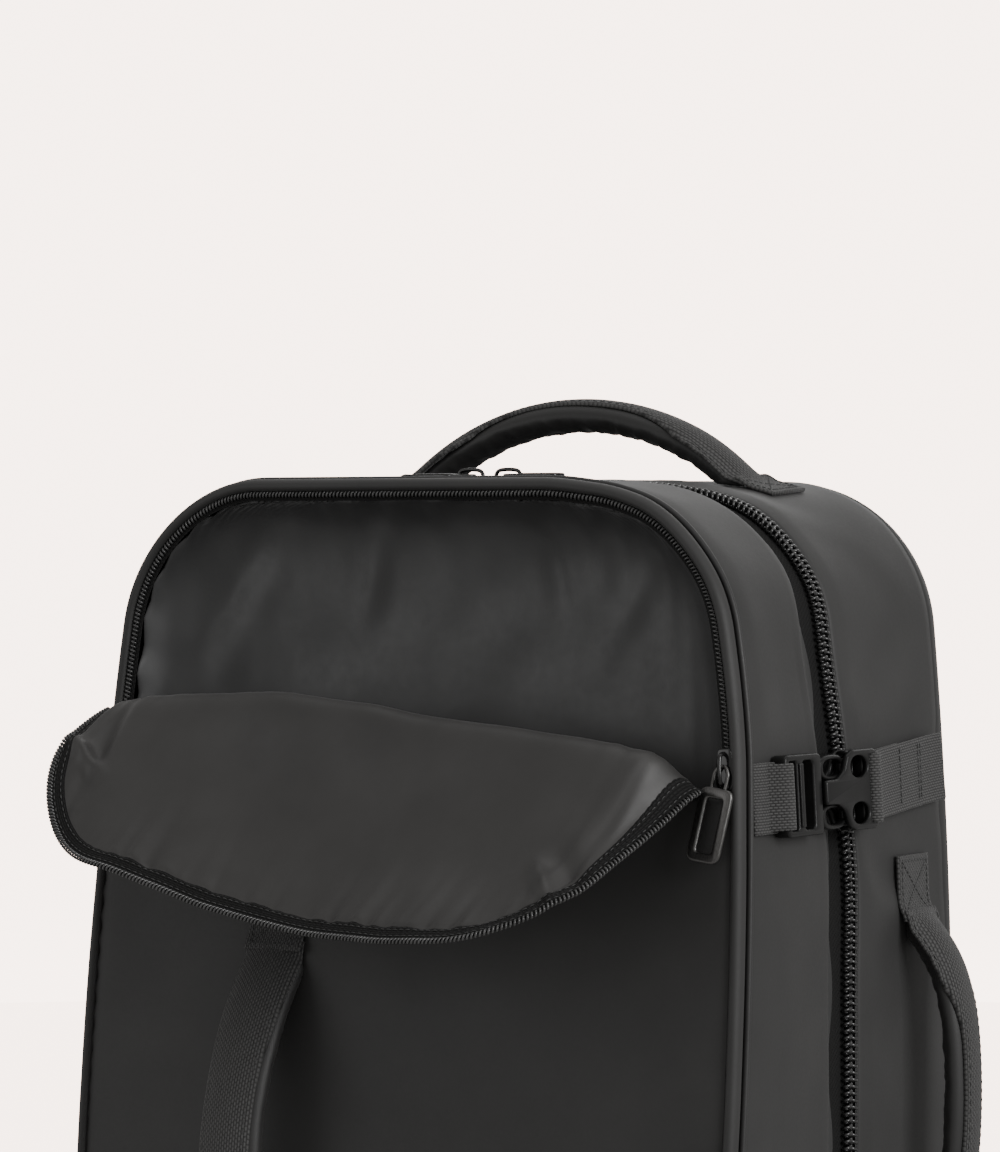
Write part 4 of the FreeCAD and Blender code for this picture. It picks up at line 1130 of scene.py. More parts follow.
class Handle:
    """A padded grip under an arched webbing. Local u runs along the span, v outward, w across.
    ground(u) is the height of the bag's surface over the handle's straight base line, patch the
    length of a sewn end, boxy how square the arch is and middle the half widths of the webbing
    and the grip halfway along."""

    def __init__(self, name, holder, matrix, half_span, rise, grip, patch, ground, boxy=0.0,
                 middle=(6.4, 9.3)):
        self.name, self.holder, self.matrix, self.grip, self.ground = name, holder, matrix, grip, ground
        self.patch, self.boxy, self.middle = patch, boxy, middle
        arch = rise - WEBBING_THICK / 2
        sag = arch - HANDLE_START
        self.radius = (half_span ** 2 + sag ** 2) / (2 * sag)
        self.reach = math.asin((half_span + 5.0) / self.radius)
        self.end = half_span + 4.0
        self.centre_v = arch - self.radius
        self.make_grip()
        self.make_webbing()
        self.make_feet()

    def on_arc(self, a):
        """Points and outward normals of the webbing's middle line, in (u, v)."""
        normal = np.stack([np.sin(a), np.cos(a)], -1)
        share = np.minimum(abs(a) / self.reach, 1.0) ** 2
        shoulder = 4.0 * self.boxy * share * (1 - share)
        at = normal * self.radius + np.array([0.0, self.centre_v])
        at[..., 1] += shoulder
        return at, normal

    def section(self, a):
        """Half height and half width of the grip at each station."""
        share = abs(a) / self.reach
        fade = smooth((1.06 - share) / 0.16)
        return (self.grip - 1.0) * fade + 0.25, self.middle[1] * fade + 6.0 * (1 - fade), fade

    def make_grip(self):
        a = np.linspace(-0.985, 0.985, 280) * self.reach
        at, normal = self.on_arc(a)
        high, wide, fade = self.section(a)
        turn = np.linspace(0, 2 * np.pi, 40, endpoint=False)
        up, over = np.cos(turn)[None], np.sin(turn)[None]
        s = (a * self.radius)[:, None]
        where = spread(s, over * 9.0, up * 6.0)
        under = smooth(-up * 1.4 + 0.25) * fade[:, None]
        pucker = (0.75 * ripple(where, 5.5, 3.0) + 0.35 * ripple(where, 2.6, 9.0)) * under
        swell = 1 + 0.05 * ripple(where, 30.0, 12.0)
        v = -(0.75 + high)[:, None] + (high[:, None] * swell + pucker) * up
        w = (wide[:, None] * swell + 0.6 * pucker) * over
        u = at[:, :1] + normal[:, :1] * v
        level = np.maximum(at[:, 1:] + normal[:, 1:] * v, 0.3 + self.ground(u))
        grid = place(self.matrix, np.stack([u, level, w], -1))
        piece = rod(self.name + "_padding", self.name, grid, EDGING, "shell", [self.name + "_grip"])

    def make_webbing(self):
        a = np.linspace(-1, 1, 200) * self.reach
        at, normal = self.on_arc(a)
        high, wide, fade = self.section(a)
        half = self.middle[0] + (12.4 - self.middle[0]) * smooth((abs(a) / self.reach - 0.25) / 0.6)
        laid = self.wrap(at, normal, half, high, wide, fade)
        strap_piece(self.name + "_band", self.name, [laid], [self.name + "_webbing"])
        reach = half - 1.7
        share = reach / np.maximum(wide, reach + 0.5)
        drop = high * (1 - np.sqrt(np.maximum(1 - share ** 2, 0.0))) * fade
        line = at + normal * (WEBBING_THICK / 2 - drop)[:, None]
        out = spread(normal[:, 0], normal[:, 1], 0.0) @ self.matrix[:3, :3].T
        thread = Soup()
        for side in (-1, 1):
            path = place(self.matrix, spread(line[:, 0], line[:, 1], side * reach))
            stitches(thread, path, out, 2.4, 0.9, 0.24, 0.2)
        thread.build(self.name + "_sewing", self.name, THREAD, "webbing", closed=True)

    def wrap(self, at, normal, half, high, wide, fade):
        """grid and UV of a flat webbing that lies over the grip's round back."""
        face = np.array([-1.0, -0.985, -0.93, -0.8, -0.55, -0.25, 0.0, 0.25, 0.55, 0.8, 0.93, 0.985, 1.0])
        swell = np.array([0.3, 0.75, 1.0, 0.93, 0.96, 1.0, 1.0, 1.0, 0.96, 0.93, 1.0, 0.75, 0.3])
        across = np.concatenate([face, face[::-1]])[None] * half[:, None]
        level = np.concatenate([swell, -swell[::-1]])[None] * WEBBING_THICK / 2
        share = np.minimum(abs(across) / (wide[:, None] + 0.5), 0.97)
        drop = high[:, None] * (1 - np.sqrt(1 - share ** 2)) * fade[:, None]
        v = level - drop
        local = np.stack([at[:, :1] + normal[:, :1] * v, at[:, 1:] + normal[:, 1:] * v, across], -1)
        return place(self.matrix, local), strip_uv(arc_length(at), across)

    def make_feet(self):
        """The sewn ends: a patch of webbing each, with a stitched box and cross."""
        laid, thread = [], Soup()
        for side in (-1, 1):
            def surface(run, w, over):
                u = self.end - 3.0 + run
                v = 1.0 + 2.6 * np.exp(-(run / 4.5) ** 2) + self.ground(side * u) + over
                return place(self.matrix, spread(side * u, v, w))
            run = np.linspace(0.0, self.patch, 34)
            path = surface(run, 0.0, 0.0)
            out = np.cross(unit(np.gradient(path, axis=0)) * side, self.matrix[:3, 2])
            out = np.where((out @ self.matrix[:3, 1])[:, None] < 0, -out, out)
            laid.append(strap_grid(path, out, WEBBING, WEBBING_THICK))
            low, high, half = 2.2, self.patch - 2.0, 10.2
            corners = [(low, -half), (high, -half), (high, half), (low, half)]
            for i, j in ((0, 1), (1, 2), (2, 3), (3, 0), (0, 2), (1, 3)):
                t = np.linspace(0, 1, 24)
                r, w = (corners[i][k] + (corners[j][k] - corners[i][k]) * t for k in (0, 1))
                line = surface(r, w, WEBBING_THICK / 2)
                lifted = surface(r, w, WEBBING_THICK / 2 + 1.0)
                stitches(thread, line, lifted - line, 1.9, 0.6, 0.3, 0.26)
        strap_piece(self.name + "_feet", self.holder, laid, [self.name + "_ends"])
        thread.build(self.name + "_feet_sewing", self.holder, THREAD, "webbing", closed=True)


def over_corner(u):
    """Height of the bag's top over the top handle's base line."""
    past = np.maximum(abs(u) - TOP_X, 0.0)
    return np.sqrt(TOP_CORNER ** 2 - past ** 2) - TOP_CORNER


def over_front(u):
    """Height of the padded front face over the front handle's base line."""
    z = FRONT_HANDLE_Z + u * 0.995
    line = front_y(FRONT_HANDLE_Z) + FRONT_SLOPE * (z - FRONT_HANDLE_Z)
    x = np.full(np.shape(z), FRONT_HANDLE_X)
    return line - front_y(z) - face_sink(x, np.asarray(z, float))


def make_handles():
    matrix = placement((0, TOP_HANDLE_Y, HEIGHT), (1, 0, 0), (0, 0, 1))
    Handle("top_handle", "rear", matrix, 72.0, 33.0, 6.5, 17.0, over_corner)
    side_reach = float(half_width(SIDE_HANDLE_Z))
    matrix = placement((side_reach, SIDE_HANDLE_Y, SIDE_HANDLE_Z), (0, 0, 1), (1, 0, 0))
    Handle("side_handle", "rear", matrix, 62.0, 26.0, 5.9, 24.0,
           lambda u: half_width(SIDE_HANDLE_Z + u) - side_reach, 3.6)
    origin = (FRONT_HANDLE_X, float(front_y(FRONT_HANDLE_Z)), FRONT_HANDLE_Z)
    matrix = placement(origin, (0, FRONT_SLOPE, 1), (0, -1, 0))
    Handle("front_handle", "front", matrix, 73.0, 31.5, 7.0, 22.0, over_front, 0.0, (10.4, 12.6))


# ---- compression strap and buckle ----------------------------------------------------------------
BUCKLE_SHIFT, BUCKLE_DROP, BUCKLE_SCALE = -9.5, -1.2, 0.94
MALE_END, MALE_NOSE, FEMALE_END = -52.0, -24.5, 16.0


def smoothed(points, step):
    """A curve through the corners of a polyline, evenly sampled."""
    path = np.array(points, float)
    for _ in range(2):
        near = path[:-1] * 0.75 + path[1:] * 0.25
        far = path[:-1] * 0.25 + path[1:] * 0.75
        path = np.vstack([path[:1], np.stack([near, far], 1).reshape(-1, path.shape[1]), path[-1:]])
    return resample(path, step)[0]


def oval(cu, cw, half_u, half_w, power=2.6):
    """A superellipse: the higher its power, the squarer it is."""
    def reach(t):
        return np.sign(t) * abs(t) ** (2 / power)

    return [(cu + half_u * reach(math.cos(a)), cw + half_w * reach(math.sin(a)))
            for a in np.linspace(0, 2 * np.pi, 28, endpoint=False)]


def oblong(u0, u1, half, radius, low=None):
    """A rounded box from u0 to u1, from low, or else -half, to half."""
    low = -half if low is None else low
    return rounded([(u0, low), (u1, low), (u1, half), (u0, half)], radius)


def flat_strap(path, matrix, width, thick=WEBBING_THICK):
    """grid and UV of a webbing along (u, v, w) points, its face towards +v."""
    world = place(matrix, path)
    along = unit(np.gradient(world, axis=0))
    out = np.cross(matrix[:3, 2], along)
    out = np.where((out @ matrix[:3, 1])[:, None] < -0.2, -out, out)
    return strap_grid(world, out, width, thick)


def make_compression_strap():
    """The strap round the right side: a band on each half, with the buckle between them."""
    reach = float(half_width(STRAP_HEIGHT))
    slope = float(half_width(STRAP_HEIGHT + 1) - half_width(STRAP_HEIGHT - 1)) / 2
    matrix = placement((reach + 0.3, 0, STRAP_HEIGHT), (0, 1, 0), (1, 0, -slope))
    start = float(front_y(STRAP_HEIGHT)) + PIPE_BEHIND + 1.0
    path = smoothed([(start, 0.5, 0), (start + 4, 1.2, 0), (-64, 1.1, 0), (-48, 1.0, 0), (-38, 1.0, 0)], 1.5)
    strap_piece("side_strap_front_band", "front", [flat_strap(path, matrix, WEBBING)],
                ["compression_webbing_front"])
    matrix = shifted(matrix, BUCKLE_SHIFT, BUCKLE_DROP)
    path = smoothed([(-62.5, 2.3, 0), (-58.5, 3.4, 0), (-54.5, 8.2, 0), (-52.6, 10.0, 0), (-50.6, 10.5, 0),
                     (-48.4, 9.6, 0), (-47.0, 6.6, 0), (-46.2, 3.6, 0)], 0.8)
    strap_piece("side_strap_turn", "male_buckle", [flat_strap(path, matrix, WEBBING - 1.6, 1.5)])
    buckle = matrix @ np.diag([1.0, 1.0, BUCKLE_SCALE, 1.0])
    make_male_buckle(buckle)
    make_female_buckle(buckle)
    over = smoothed([(12.2, 3.4, 0), (12.1, 7.4, 0), (12.4, 10.8, 0), (14.4, 11.7, 0), (17.2, 11.2, 0),
                     (20.0, 8.6, -0.2), (23.5, 6.4, -0.4), (30, 5.0, -0.9), (42, 4.6, -1.9), (58, 4.2, -3.3),
                     (72, 4.2, -4.5), (82, 5.0, -5.2)], 0.9)
    under = smoothed([(12.8, 4.2, 0), (16.8, 3.2, 0), (24, 2.4, -0.4), (41, 2.6, -1.8),
                      (50.5, 2.4, -2.6)], 1.2)
    strap_piece("side_strap_rear_band", "rear", [flat_strap(path, matrix, WEBBING) for path in (over, under)],
                ["compression_webbing_rear"])
    thread = Soup()
    for u, v, w in ((46.0, 5.4, -2.3), (62.0, 5.05, -3.6), (64.0, 5.02, -3.8)):
        t = np.linspace(-10.8, 10.8, 24)
        stitches(thread, place(matrix, spread(u - 0.02 * t, v, w + t)), matrix[:3, 1], 2.0, 0.6, 0.3, 0.22)
    thread.build("side_strap_sewing", "rear", THREAD, "webbing", closed=True)


def make_male_buckle(matrix):
    """The pronged half: a frame with two bars for the webbing, two sprung loops and a guide."""
    frame_hole = [oblong(-49.2, -43.4, 12.9, 1.2), oblong(-39.0, -30.6, 12.9, 2.2)]
    parts = [(oblong(MALE_END, MALE_NOSE, 15.4, 3.0), frame_hole, 2.8, 9.0)]
    ribs = [(oblong(-42.6, -39.8, 12.0, 0.6), [], 8.6, 9.9)]
    loops = []
    for side in (1, -1):
        centre = side * 9.2
        loops.append((oval(-14.6, centre, 9.6, 5.0), [oval(-14.2, centre, 7.4, 3.1)], 4.9, 8.3))
        arm = [(-7.0, side * 12.4), (-2.6, side * 12.6), (-0.6, side * 9.4), (-3.2, side * 7.2),
               (-7.5, side * 6.0)]
        loops.append((rounded(arm if side > 0 else arm[::-1], 1.0), [], 5.3, 8.0))
    guide = [(oblong(-25.5, -8.5, 1.6, 0.6), [], 5.3, 8.0)]
    plates("side_release_male", parts + ribs + loops + guide, matrix, "male_buckle", ACETAL, "buckle_plastic",
           ["buckle_male"], 0.9)


def make_female_buckle(matrix):
    """The housing: two necked plates with leaf-shaped openings, walls between them and a bar."""
    half_neck = [(-24.0, 4.6), (-14.5, 4.9), (-9.5, 7.2), (-6.2, 13.6), (-2.0, 15.4), (FEMALE_END, 15.4)]
    radii = [1.5, 5, 5, 3, 4, 2.4]
    edge = rounded([(u, -w) for u, w in half_neck] + half_neck[::-1], radii + radii[::-1])
    holes = [oval(2.4, 8.9, 6.8, 4.1, 2.2), oval(2.4, -8.9, 6.8, 4.1, 2.2), oblong(10.9, 13.5, 12.6, 0.9)]
    inner_low, inner_high = 4.2, 8.5
    walls = [oblong(-3.5, 10.5, 15.2, 0.5, 13.7), oblong(-3.5, 10.5, -13.7, 0.5, -15.2)]
    floor = (oblong(-23.5, 10.5, 2.6, 0.6), [], inner_low, 5.1)
    bars = [oblong(13.7, FEMALE_END - 0.2, 15.0, 0.8), oblong(9.2, 10.7, 15.0, 0.4)]
    parts = [(edge, holes, 8.3, 10.6), (edge, holes, 2.0, 4.4)]
    parts += [(wall, [], inner_low, inner_high) for wall in walls]
    parts += [floor] + [(bar, [], inner_low, inner_high) for bar in bars]
    plates("side_release_female", parts, matrix, "rear", ACETAL, "buckle_plastic", ["buckle_female"], 0.9)


# ---- zip sliders and pulls ---------------------------------------------------------------------
def shifted(matrix, u=0.0, v=0.0, tilt=0.0):
    """matrix moved along its own axes and turned about its third."""
    c, s = math.cos(math.radians(tilt)), math.sin(math.radians(tilt))
    return matrix @ np.array([[c, -s, 0, u], [s, c, 0, v], [0, 0, 1, 0], [0, 0, 0, 1.0]])


def sideways(degrees):
    """A turn in the plane of a pull's flat."""
    c, s = math.cos(math.radians(degrees)), math.sin(math.radians(degrees))
    return np.array([[c, 0, s, 0], [0, 1, 0, 0], [-s, 0, c, 0], [0, 0, 0, 1.0]])


def make_slider(name, matrix, body, half, low, high, node):
    """Two plates round the zip, from low to high, with a bridge over them. Gives the height at
    which the pull hangs."""
    cheek = [(-7.4, 0.55 * half), (-5.0, half), (1.0, 0.96 * half), (7.4, 0.72 * half)]
    edge = rounded([(u, -w) for u, w in cheek] + cheek[::-1], 1.6)
    parts = [(edge, [], high, high + 1.3), (edge, [], low - 1.3, low),
             (oblong(1.0, 6.2, 0.7, 0.3), [], low - 0.2, high + 0.2)]
    plates(name + "_shell", parts, matrix, body, GLOSS_METAL, "slider_metal", [node], 0.45)
    roof = high + 1.0
    path = smoothed([(-5.6, roof, 0), (-5.3, roof + 2.6, 0), (-3.6, roof + 4.0, 0), (3.6, roof + 4.0, 0),
                     (5.3, roof + 2.6, 0), (5.6, roof, 0)], 0.5)
    rod(name + "_bridge", body, place(matrix, tube(path, 0.75, 12)), GLOSS_METAL, "slider_metal")
    return high + 1.3 + 1.4


def make_pull(name, matrix, body, long, wide, thick, link, gap, material, nodes):
    """A wire link and the ring-shaped tab that hangs in it."""
    corners = [(-link - 0.4, 2.7), (-1.5, 2.7), (1.1, 1.2), (1.1, -1.2), (-1.5, -2.7), (-link - 0.4, -2.7)]
    path = np.array([(u, 0.0, w) for u, w in rounded(corners, 1.5, 6)])
    grid = place(matrix, tube(even_loop(path, 0.5), 0.68, 10, closed=True))
    rod(name + "_link_wire", body, grid, material, "pull_metal", [nodes[0]], looped=True)
    start = -link + gap
    end, side = start - long, wide / 2
    loop = rounded([(end, -side), (start, -side), (start, side), (end, side)], wide * 0.28, 7)
    bar = 2.4 + 0.08 * wide
    hole = rounded([(end + bar, -side + bar), (start - bar - 0.4, -side + bar),
                    (start - bar - 0.4, side - bar), (end + bar, side - bar)], 1.2, 5)
    plates(name + "_tab_loop", [(loop, [hole], -thick / 2, thick / 2)], matrix, body, material, "pull_metal",
           [nodes[1]], thick * 0.4)


def make_sliders():
    for name, x, along in (("left", -23.5, -1.0), ("right", -7.0, 1.0)):
        matrix = placement((x, 0, HEIGHT), (-along, 0, 0), (0, 0, 1))
        pivot = make_slider("main_slider_" + name, matrix, "zip_slider_" + name, 5.6, -4.95, 0.3,
                            "main_slider_" + name)
        make_pull("main_pull_" + name, shifted(matrix, 0, pivot), "zip_pull_" + name, 16.0, 9.0, 1.8,
                  7.0, 0.0, GLOSS_METAL, ["main_pull_link_" + name, "main_pull_tab_" + name])
    z = FOLD_RIGHT + 9.0
    slope = float(half_width(z + 17) - half_width(z + 15)) / 2
    x = float(half_width(z + 16)) - slope * 16
    matrix = placement((x - 3.0, float(front_y(z)) + 1.8, z), (slope, FRONT_SLOPE, 1.0), (0, -1, 0))
    pivot = make_slider("pocket_slider", matrix, "pocket_zip_slider", 3.6, -1.35, 1.35, "pocket_slider")
    make_pull("pocket_pull", shifted(matrix, 0, pivot, -6.0) @ sideways(-12.0), "pocket_zip_pull", 26.5, 13.2,
              2.2, 8.0, 1.5, GUNMETAL, ["pocket_pull_link", "pocket_pull_tab"])


# ---- padded back, harness and linings -----------------------------------------------------------
PAD_FRONT, PAD_BACK, PAD_SEWN_TO = 96.3, 102.4, 98.4
PAD_INNER, PAD_OUTER, PAD_CORNER, PAD_PUFF = 14.5, 97.5, 13, 2.6
STRAP_FRONT, STRAP_MIDDLE, STRAP_BACK = 107.2, 111.6, 115.8
STRAP_LOW, STRAP_TOP, STRAP_PUFF = 150.0, 402.0, 1.5
PAD_VOXEL = 4.0
SLEEVE_HALF, SLEEVE_LOW, SLEEVE_HIGH, SLEEVE_FRONT, SLEEVE_BACK = 111.5, 10.5, 329.5, 56.4, 60.6
GUSSET_LOW, GUSSET_HIGH, GUSSET_FRONT, GUSSET_BACK = 31.0, 318.5, 58.0, 90.5
SHOULDER_WEB, LOCK_X = 20.0, 68.0
ANCHOR_WING = [(92, 26), (120, 36), (122, 54), (100, 53)]
ANCHOR_SEAM = [(95, 31), (117.5, 39), (119, 51.5), (102, 50.5), (95, 31)]
# the adjusting webbing's run from the ladder lock down to the wing: (outwards, y, z)
ADJUSTER_ROUTE = [(0.6, 109.6, 111.0), (6, 109.6, 102), (20, 109.5, 82), (37.0, 109.4, 57.5),
                  (39.5, 109.4, 54.0)]
UPSIDE_DOWN = np.diag([1.0, 1.0, -1.0, 1.0])      # for plates whose outlines are given in (x, -z)
FILL_FRAMES = 20


def slab(name, outline, low, high, voxel):
    """A closed slab over an (x, z) outline between two depths, with an even mesh."""
    work = bmesh.new()
    face = work.faces.new([work.verts.new((x * MM, low * MM, z * MM)) for x, z in outline])
    made = bmesh.ops.extrude_face_region(work, geom=[face])
    raised = [v for v in made["geom"] if isinstance(v, bmesh.types.BMVert)]
    bmesh.ops.translate(work, verts=raised, vec=(0, (high - low) * MM, 0))
    bmesh.ops.recalc_face_normals(work, faces=work.faces)
    mesh = bpy.data.meshes.new(name + "_slab")
    work.to_mesh(mesh)
    work.free()
    holder = bpy.data.objects.new(name + "_slab", mesh)
    bpy.context.scene.collection.objects.link(holder)
    even = holder.modifiers.new("Even", "REMESH")
    even.mode, even.voxel_size = "VOXEL", voxel * MM
    apply_modifiers(holder)
    return holder


def points_of(mesh):
    at = np.zeros(len(mesh.vertices) * 3)
    mesh.vertices.foreach_get("co", at)
    return at.reshape(-1, 3) / MM


def set_points(mesh, at):
    mesh.vertices.foreach_set("co", (at * MM).ravel())
    mesh.update()


def fill(holder, held, most):
    """Blows a slab up like a stuffed pad with a cloth simulation; its sewn points stay put."""
    mesh = holder.data
    rest = points_of(mesh)
    group = holder.vertex_groups.new(name="sewn")
    group.add(np.flatnonzero(held(rest)).tolist(), 1.0, "REPLACE")
    cloth = holder.modifiers.new("Filling", "CLOTH")
    settings = cloth.settings
    settings.quality, settings.mass = 4, 0.15
    settings.tension_stiffness = settings.compression_stiffness = 10.0
    settings.shear_stiffness, settings.bending_stiffness = 4.0, 0.3
    settings.use_pressure, settings.uniform_pressure_force = True, 4.0
    settings.effector_weights.gravity = 0.0
    settings.vertex_group_mass = "sewn"
    cloth.collision_settings.use_collision = False
    cloth.point_cache.frame_start, cloth.point_cache.frame_end = 1, FILL_FRAMES
    for moment in range(1, FILL_FRAMES + 1):
        bpy.context.scene.frame_set(moment)
    seen = holder.evaluated_get(bpy.context.evaluated_depsgraph_get())
    move = points_of(seen.data) - rest
    furthest = np.percentile(np.linalg.norm(move, axis=1), 98)
    move *= most / max(furthest, 1e-6)
    reach = np.linalg.norm(move, axis=1, keepdims=True)
    move *= np.minimum(1.0, most / np.maximum(reach, 1e-6))
    holder.modifiers.clear()
    holder.vertex_groups.clear()
    set_points(mesh, rest + move)
    bpy.context.scene.frame_set(1)


def cushion(name, outline, low, high, voxel, held, most, shape, body, material, slot, replaced):
    """A stuffed pad over an (x, z) outline; shape(points) sews its channels in afterwards."""
    holder = slab(name, outline, low, high, voxel)
    fill(holder, held, most)
    fine = holder.modifiers.new("Smooth", "SUBSURF")
    fine.levels = fine.render_levels = 1
    apply_modifiers(holder)
    mesh = holder.data
    set_points(mesh, shape(points_of(mesh)))
    bpy.data.objects.remove(holder)
    mesh.name = name
    piece = finish_piece(name, mesh, body, material, slot, replaced)
    return piece


def channels(heights, deep, width, back):
    """Presses level sewn channels into the side of a pad that faces away from the bag."""
    def press(at):
        share = smooth((at[:, 1] - back) / 3.0)
        for z in heights:
            at[:, 1] -= share * deep * bump(at[:, 2] - z, width)
        at[:, 1] += share * 0.25 * ripple(at, 24.0, 5.0)
        return at
    return press


def edging(name, body, outline, depth, radius, step):
    """A round binding along a closed (x, z) outline at one depth."""
    path = even_loop(np.array([(x, depth, z) for x, z in outline]), step)
    rod(name, body, tube(path, radius, 8, closed=True), EDGING, "piping", looped=True)


def back_cushion(name, side_name, box, seams, deep, node):
    """A mesh cushion on the back, over a box from (x, z) to (x, z), and its binding."""
    (x0, z0), (x1, z1) = box
    outline = rounded([(x0, z0), (x1, z0), (x1, z1), (x0, z1)], PAD_CORNER, 8)
    cushion(name + side_name, outline, PAD_FRONT, PAD_BACK, PAD_VOXEL, lambda p: p[:, 1] < PAD_SEWN_TO,
            PAD_PUFF, channels(seams, deep, 3.4, 99.0), "rear", MESH_CLOTH, "back_mesh", [node])
    edging(name + "_binding" + side_name, "rear", outline, PAD_FRONT + 0.9, 1.3, 2.5)


def make_back_pads():
    for name, side in SIDES:
        box = ((side * PAD_INNER, 110.5), (side * PAD_OUTER, 394.5))
        back_cushion("back_cushion", "_" + name, box, (181, 253, 324), 2.6, "back_pad_" + name)
    back_cushion("lumbar_cushion", "", ((-PAD_OUTER, 32.5), (PAD_OUTER, 99.5)), (66,), 2.4, "lumbar_pad")


def strap_middle(z):
    """Distance from the bag's middle, and half width, of a shoulder strap at the heights z."""
    share = (STRAP_TOP - z) / (STRAP_TOP - STRAP_LOW)
    return 42.0 + 26.0 * np.sin(share * math.pi / 2), 31.0 - 10.0 * share


def make_harness():
    """Both shoulder straps: padding, mesh lining, binding, webbing and their ends."""
    z = np.linspace(STRAP_TOP - 0.5, STRAP_LOW + 0.5, 42)
    middle, half = strap_middle(z)
    half = half - 1.0 - 5.0 * bump(z - STRAP_LOW, 5.0) - 4.0 * bump(z - STRAP_TOP, 4.0)
    for name, side in SIDES:
        body = name + "_strap"
        edges = np.concatenate([middle + half, (middle - half)[::-1]]) * side
        outline = np.column_stack([edges, np.concatenate([z, z[::-1]])])
        padding = cushion("shoulder_padding_" + name, outline.tolist(), STRAP_FRONT, STRAP_BACK, PAD_VOXEL,
                          lambda p: abs(p[:, 1] - STRAP_MIDDLE) < 2.2, STRAP_PUFF, lambda p: p, body, SHELL,
                          "shell", ["shoulder_strap_" + name])
        mesh = padding.data
        mesh.materials.append(MESH_CLOTH)
        for face in mesh.polygons:
            face.material_index = 1 if face.normal.y < -0.35 else 0
        edging("shoulder_binding_" + name, body, outline, STRAP_MIDDLE, 1.7, 3.0)
        tree = BVHTree.FromPolygons([v.co for v in mesh.vertices], [list(f.vertices) for f in mesh.polygons])
        lay = np.linspace(STRAP_TOP - 8, STRAP_LOW + 1.0, 110)
        centre = strap_middle(lay)[0] * side
        level = []
        for x, height in zip(centre, lay):
            hit = tree.ray_cast(Vector((x * MM, 0.15, height * MM)), Vector((0, -1, 0)))[0]
            level.append(hit.y / MM + 0.75 if hit else STRAP_MIDDLE + 4.5)
        level = np.convolve(np.pad(level, 3, "edge"), np.ones(7) / 7, "valid")
        path = np.column_stack([centre, level, lay])
        strap_piece("shoulder_webbing_" + name, body, [strap_grid(path, TO_BACK, SHOULDER_WEB, 1.4)])
        thread = Soup()
        for height in (390.0, 345.0, 300.0, 255.0, 210.0, 165.0):
            spot = path[np.argmin(abs(path[:, 2] - height))]
            for drop in (0.0, 3.0):
                line = spot + spread(np.linspace(-8.8, 8.8, 20), 0.65, -drop)
                stitches(thread, line, TO_BACK, 1.9, 0.6, 0.3, 0.25)
        thread.build("shoulder_sewing_" + name, body, THREAD, "webbing", closed=True)
        make_strap_end(name, side, body)
        make_strap_top(name, side)


def webbing_run(name, points, body, replaced, width, thick):
    """Webbing through a few points, with its face to the back."""
    strap_piece(name, body, [strap_grid(smoothed(points, 1.5), TO_BACK, width, thick)], replaced)


def make_strap_end(name, side, body):
    """The strap's end tab, its ladder lock and the adjusting webbing down to the anchor wing."""
    x = LOCK_X * side

    def bar(z0, z1, half, radius):
        return rounded([(x - half, -z1), (x + half, -z1), (x + half, -z0), (x - half, -z0)], radius)

    points = [(x, 111.2, 156), (x, 111.1, 148), (x, 110.8, 138.6), (x, 110.2, 136.6)]
    webbing_run("strap_tab_web_" + name, points, body, ["strap_end_tab_" + name], 19.5, 1.7)
    slots = [bar(121.2, 125.2, 10.8, 1.2), bar(133.0, 137.4, 10.8, 1.2)]
    parts = [(bar(118.4, 141.6, 13.6, 3.2), slots, 108.4, 111.6),
             (bar(127.0, 129.4, 12.4, 0.8), [], 111.2, 112.8)]
    plates("ladder_frame_" + name, parts, UPSIDE_DOWN, body, ACETAL, "buckle_plastic",
           ["ladder_lock_" + name], 0.8)
    points = [(x + side * out, y, z) for out, y, z in ADJUSTER_ROUTE]
    webbing_run("adjuster_web_" + name, points, name + "_lower_webbing", ["lower_webbing_" + name], 19.4, 1.3)
    wing = rounded([(side * a, -b) for a, b in ANCHOR_WING], 2.5)
    plates("anchor_wing_" + name, [(wing, [], 105.3, 108.0)], UPSIDE_DOWN, "rear", SHELL, "shell",
           ["strap_anchor_" + name], 1.1)
    thread = Soup()
    seam = np.array([(side * a, 108.0, b) for a, b in ANCHOR_SEAM])
    for a, b in zip(seam[:-1], seam[1:]):
        line = a + (b - a) * np.linspace(0.03, 0.97, 20)[:, None]
        stitches(thread, line, TO_BACK, 1.9, 0.7, 0.25, 0.2)
    thread.build("anchor_sewing_" + name, "rear", THREAD, "webbing", closed=True)


def make_strap_top(name, side):
    """The yoke sewn to the back, and the cloth neck that bends between it and the strap."""
    near, far, low, high = side * 14.5, side * 71.5, 404.5, 423.5
    outline = rounded([(near, -high), (far, -high), (far, -low), (near, -low)], 4.0)
    plates("yoke_patch_" + name, [(outline, [], 97.4, 100.8)], UPSIDE_DOWN, "rear", SHELL, "shell",
           ["strap_yoke_" + name], 1.3)
    _, half = strap_middle(398.0)
    rows = np.linspace(0, 1, 20)[:, None]
    u = np.linspace(-1, 1, 25)[None]
    y = 113.5 - 12.3 * smooth(rows) + 1.2 * np.sin(rows * np.pi)
    grid = spread(side * (42.5 + (half - 3.0 - 1.5 * rows) * u), y, 397.0 + 20.0 * rows)
    neck = Soup().add(grid, flip=side > 0).build("strap_neck_" + name, None, SHELL, "shell", thick=1.4)
    apply_modifiers(neck)
    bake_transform(neck)


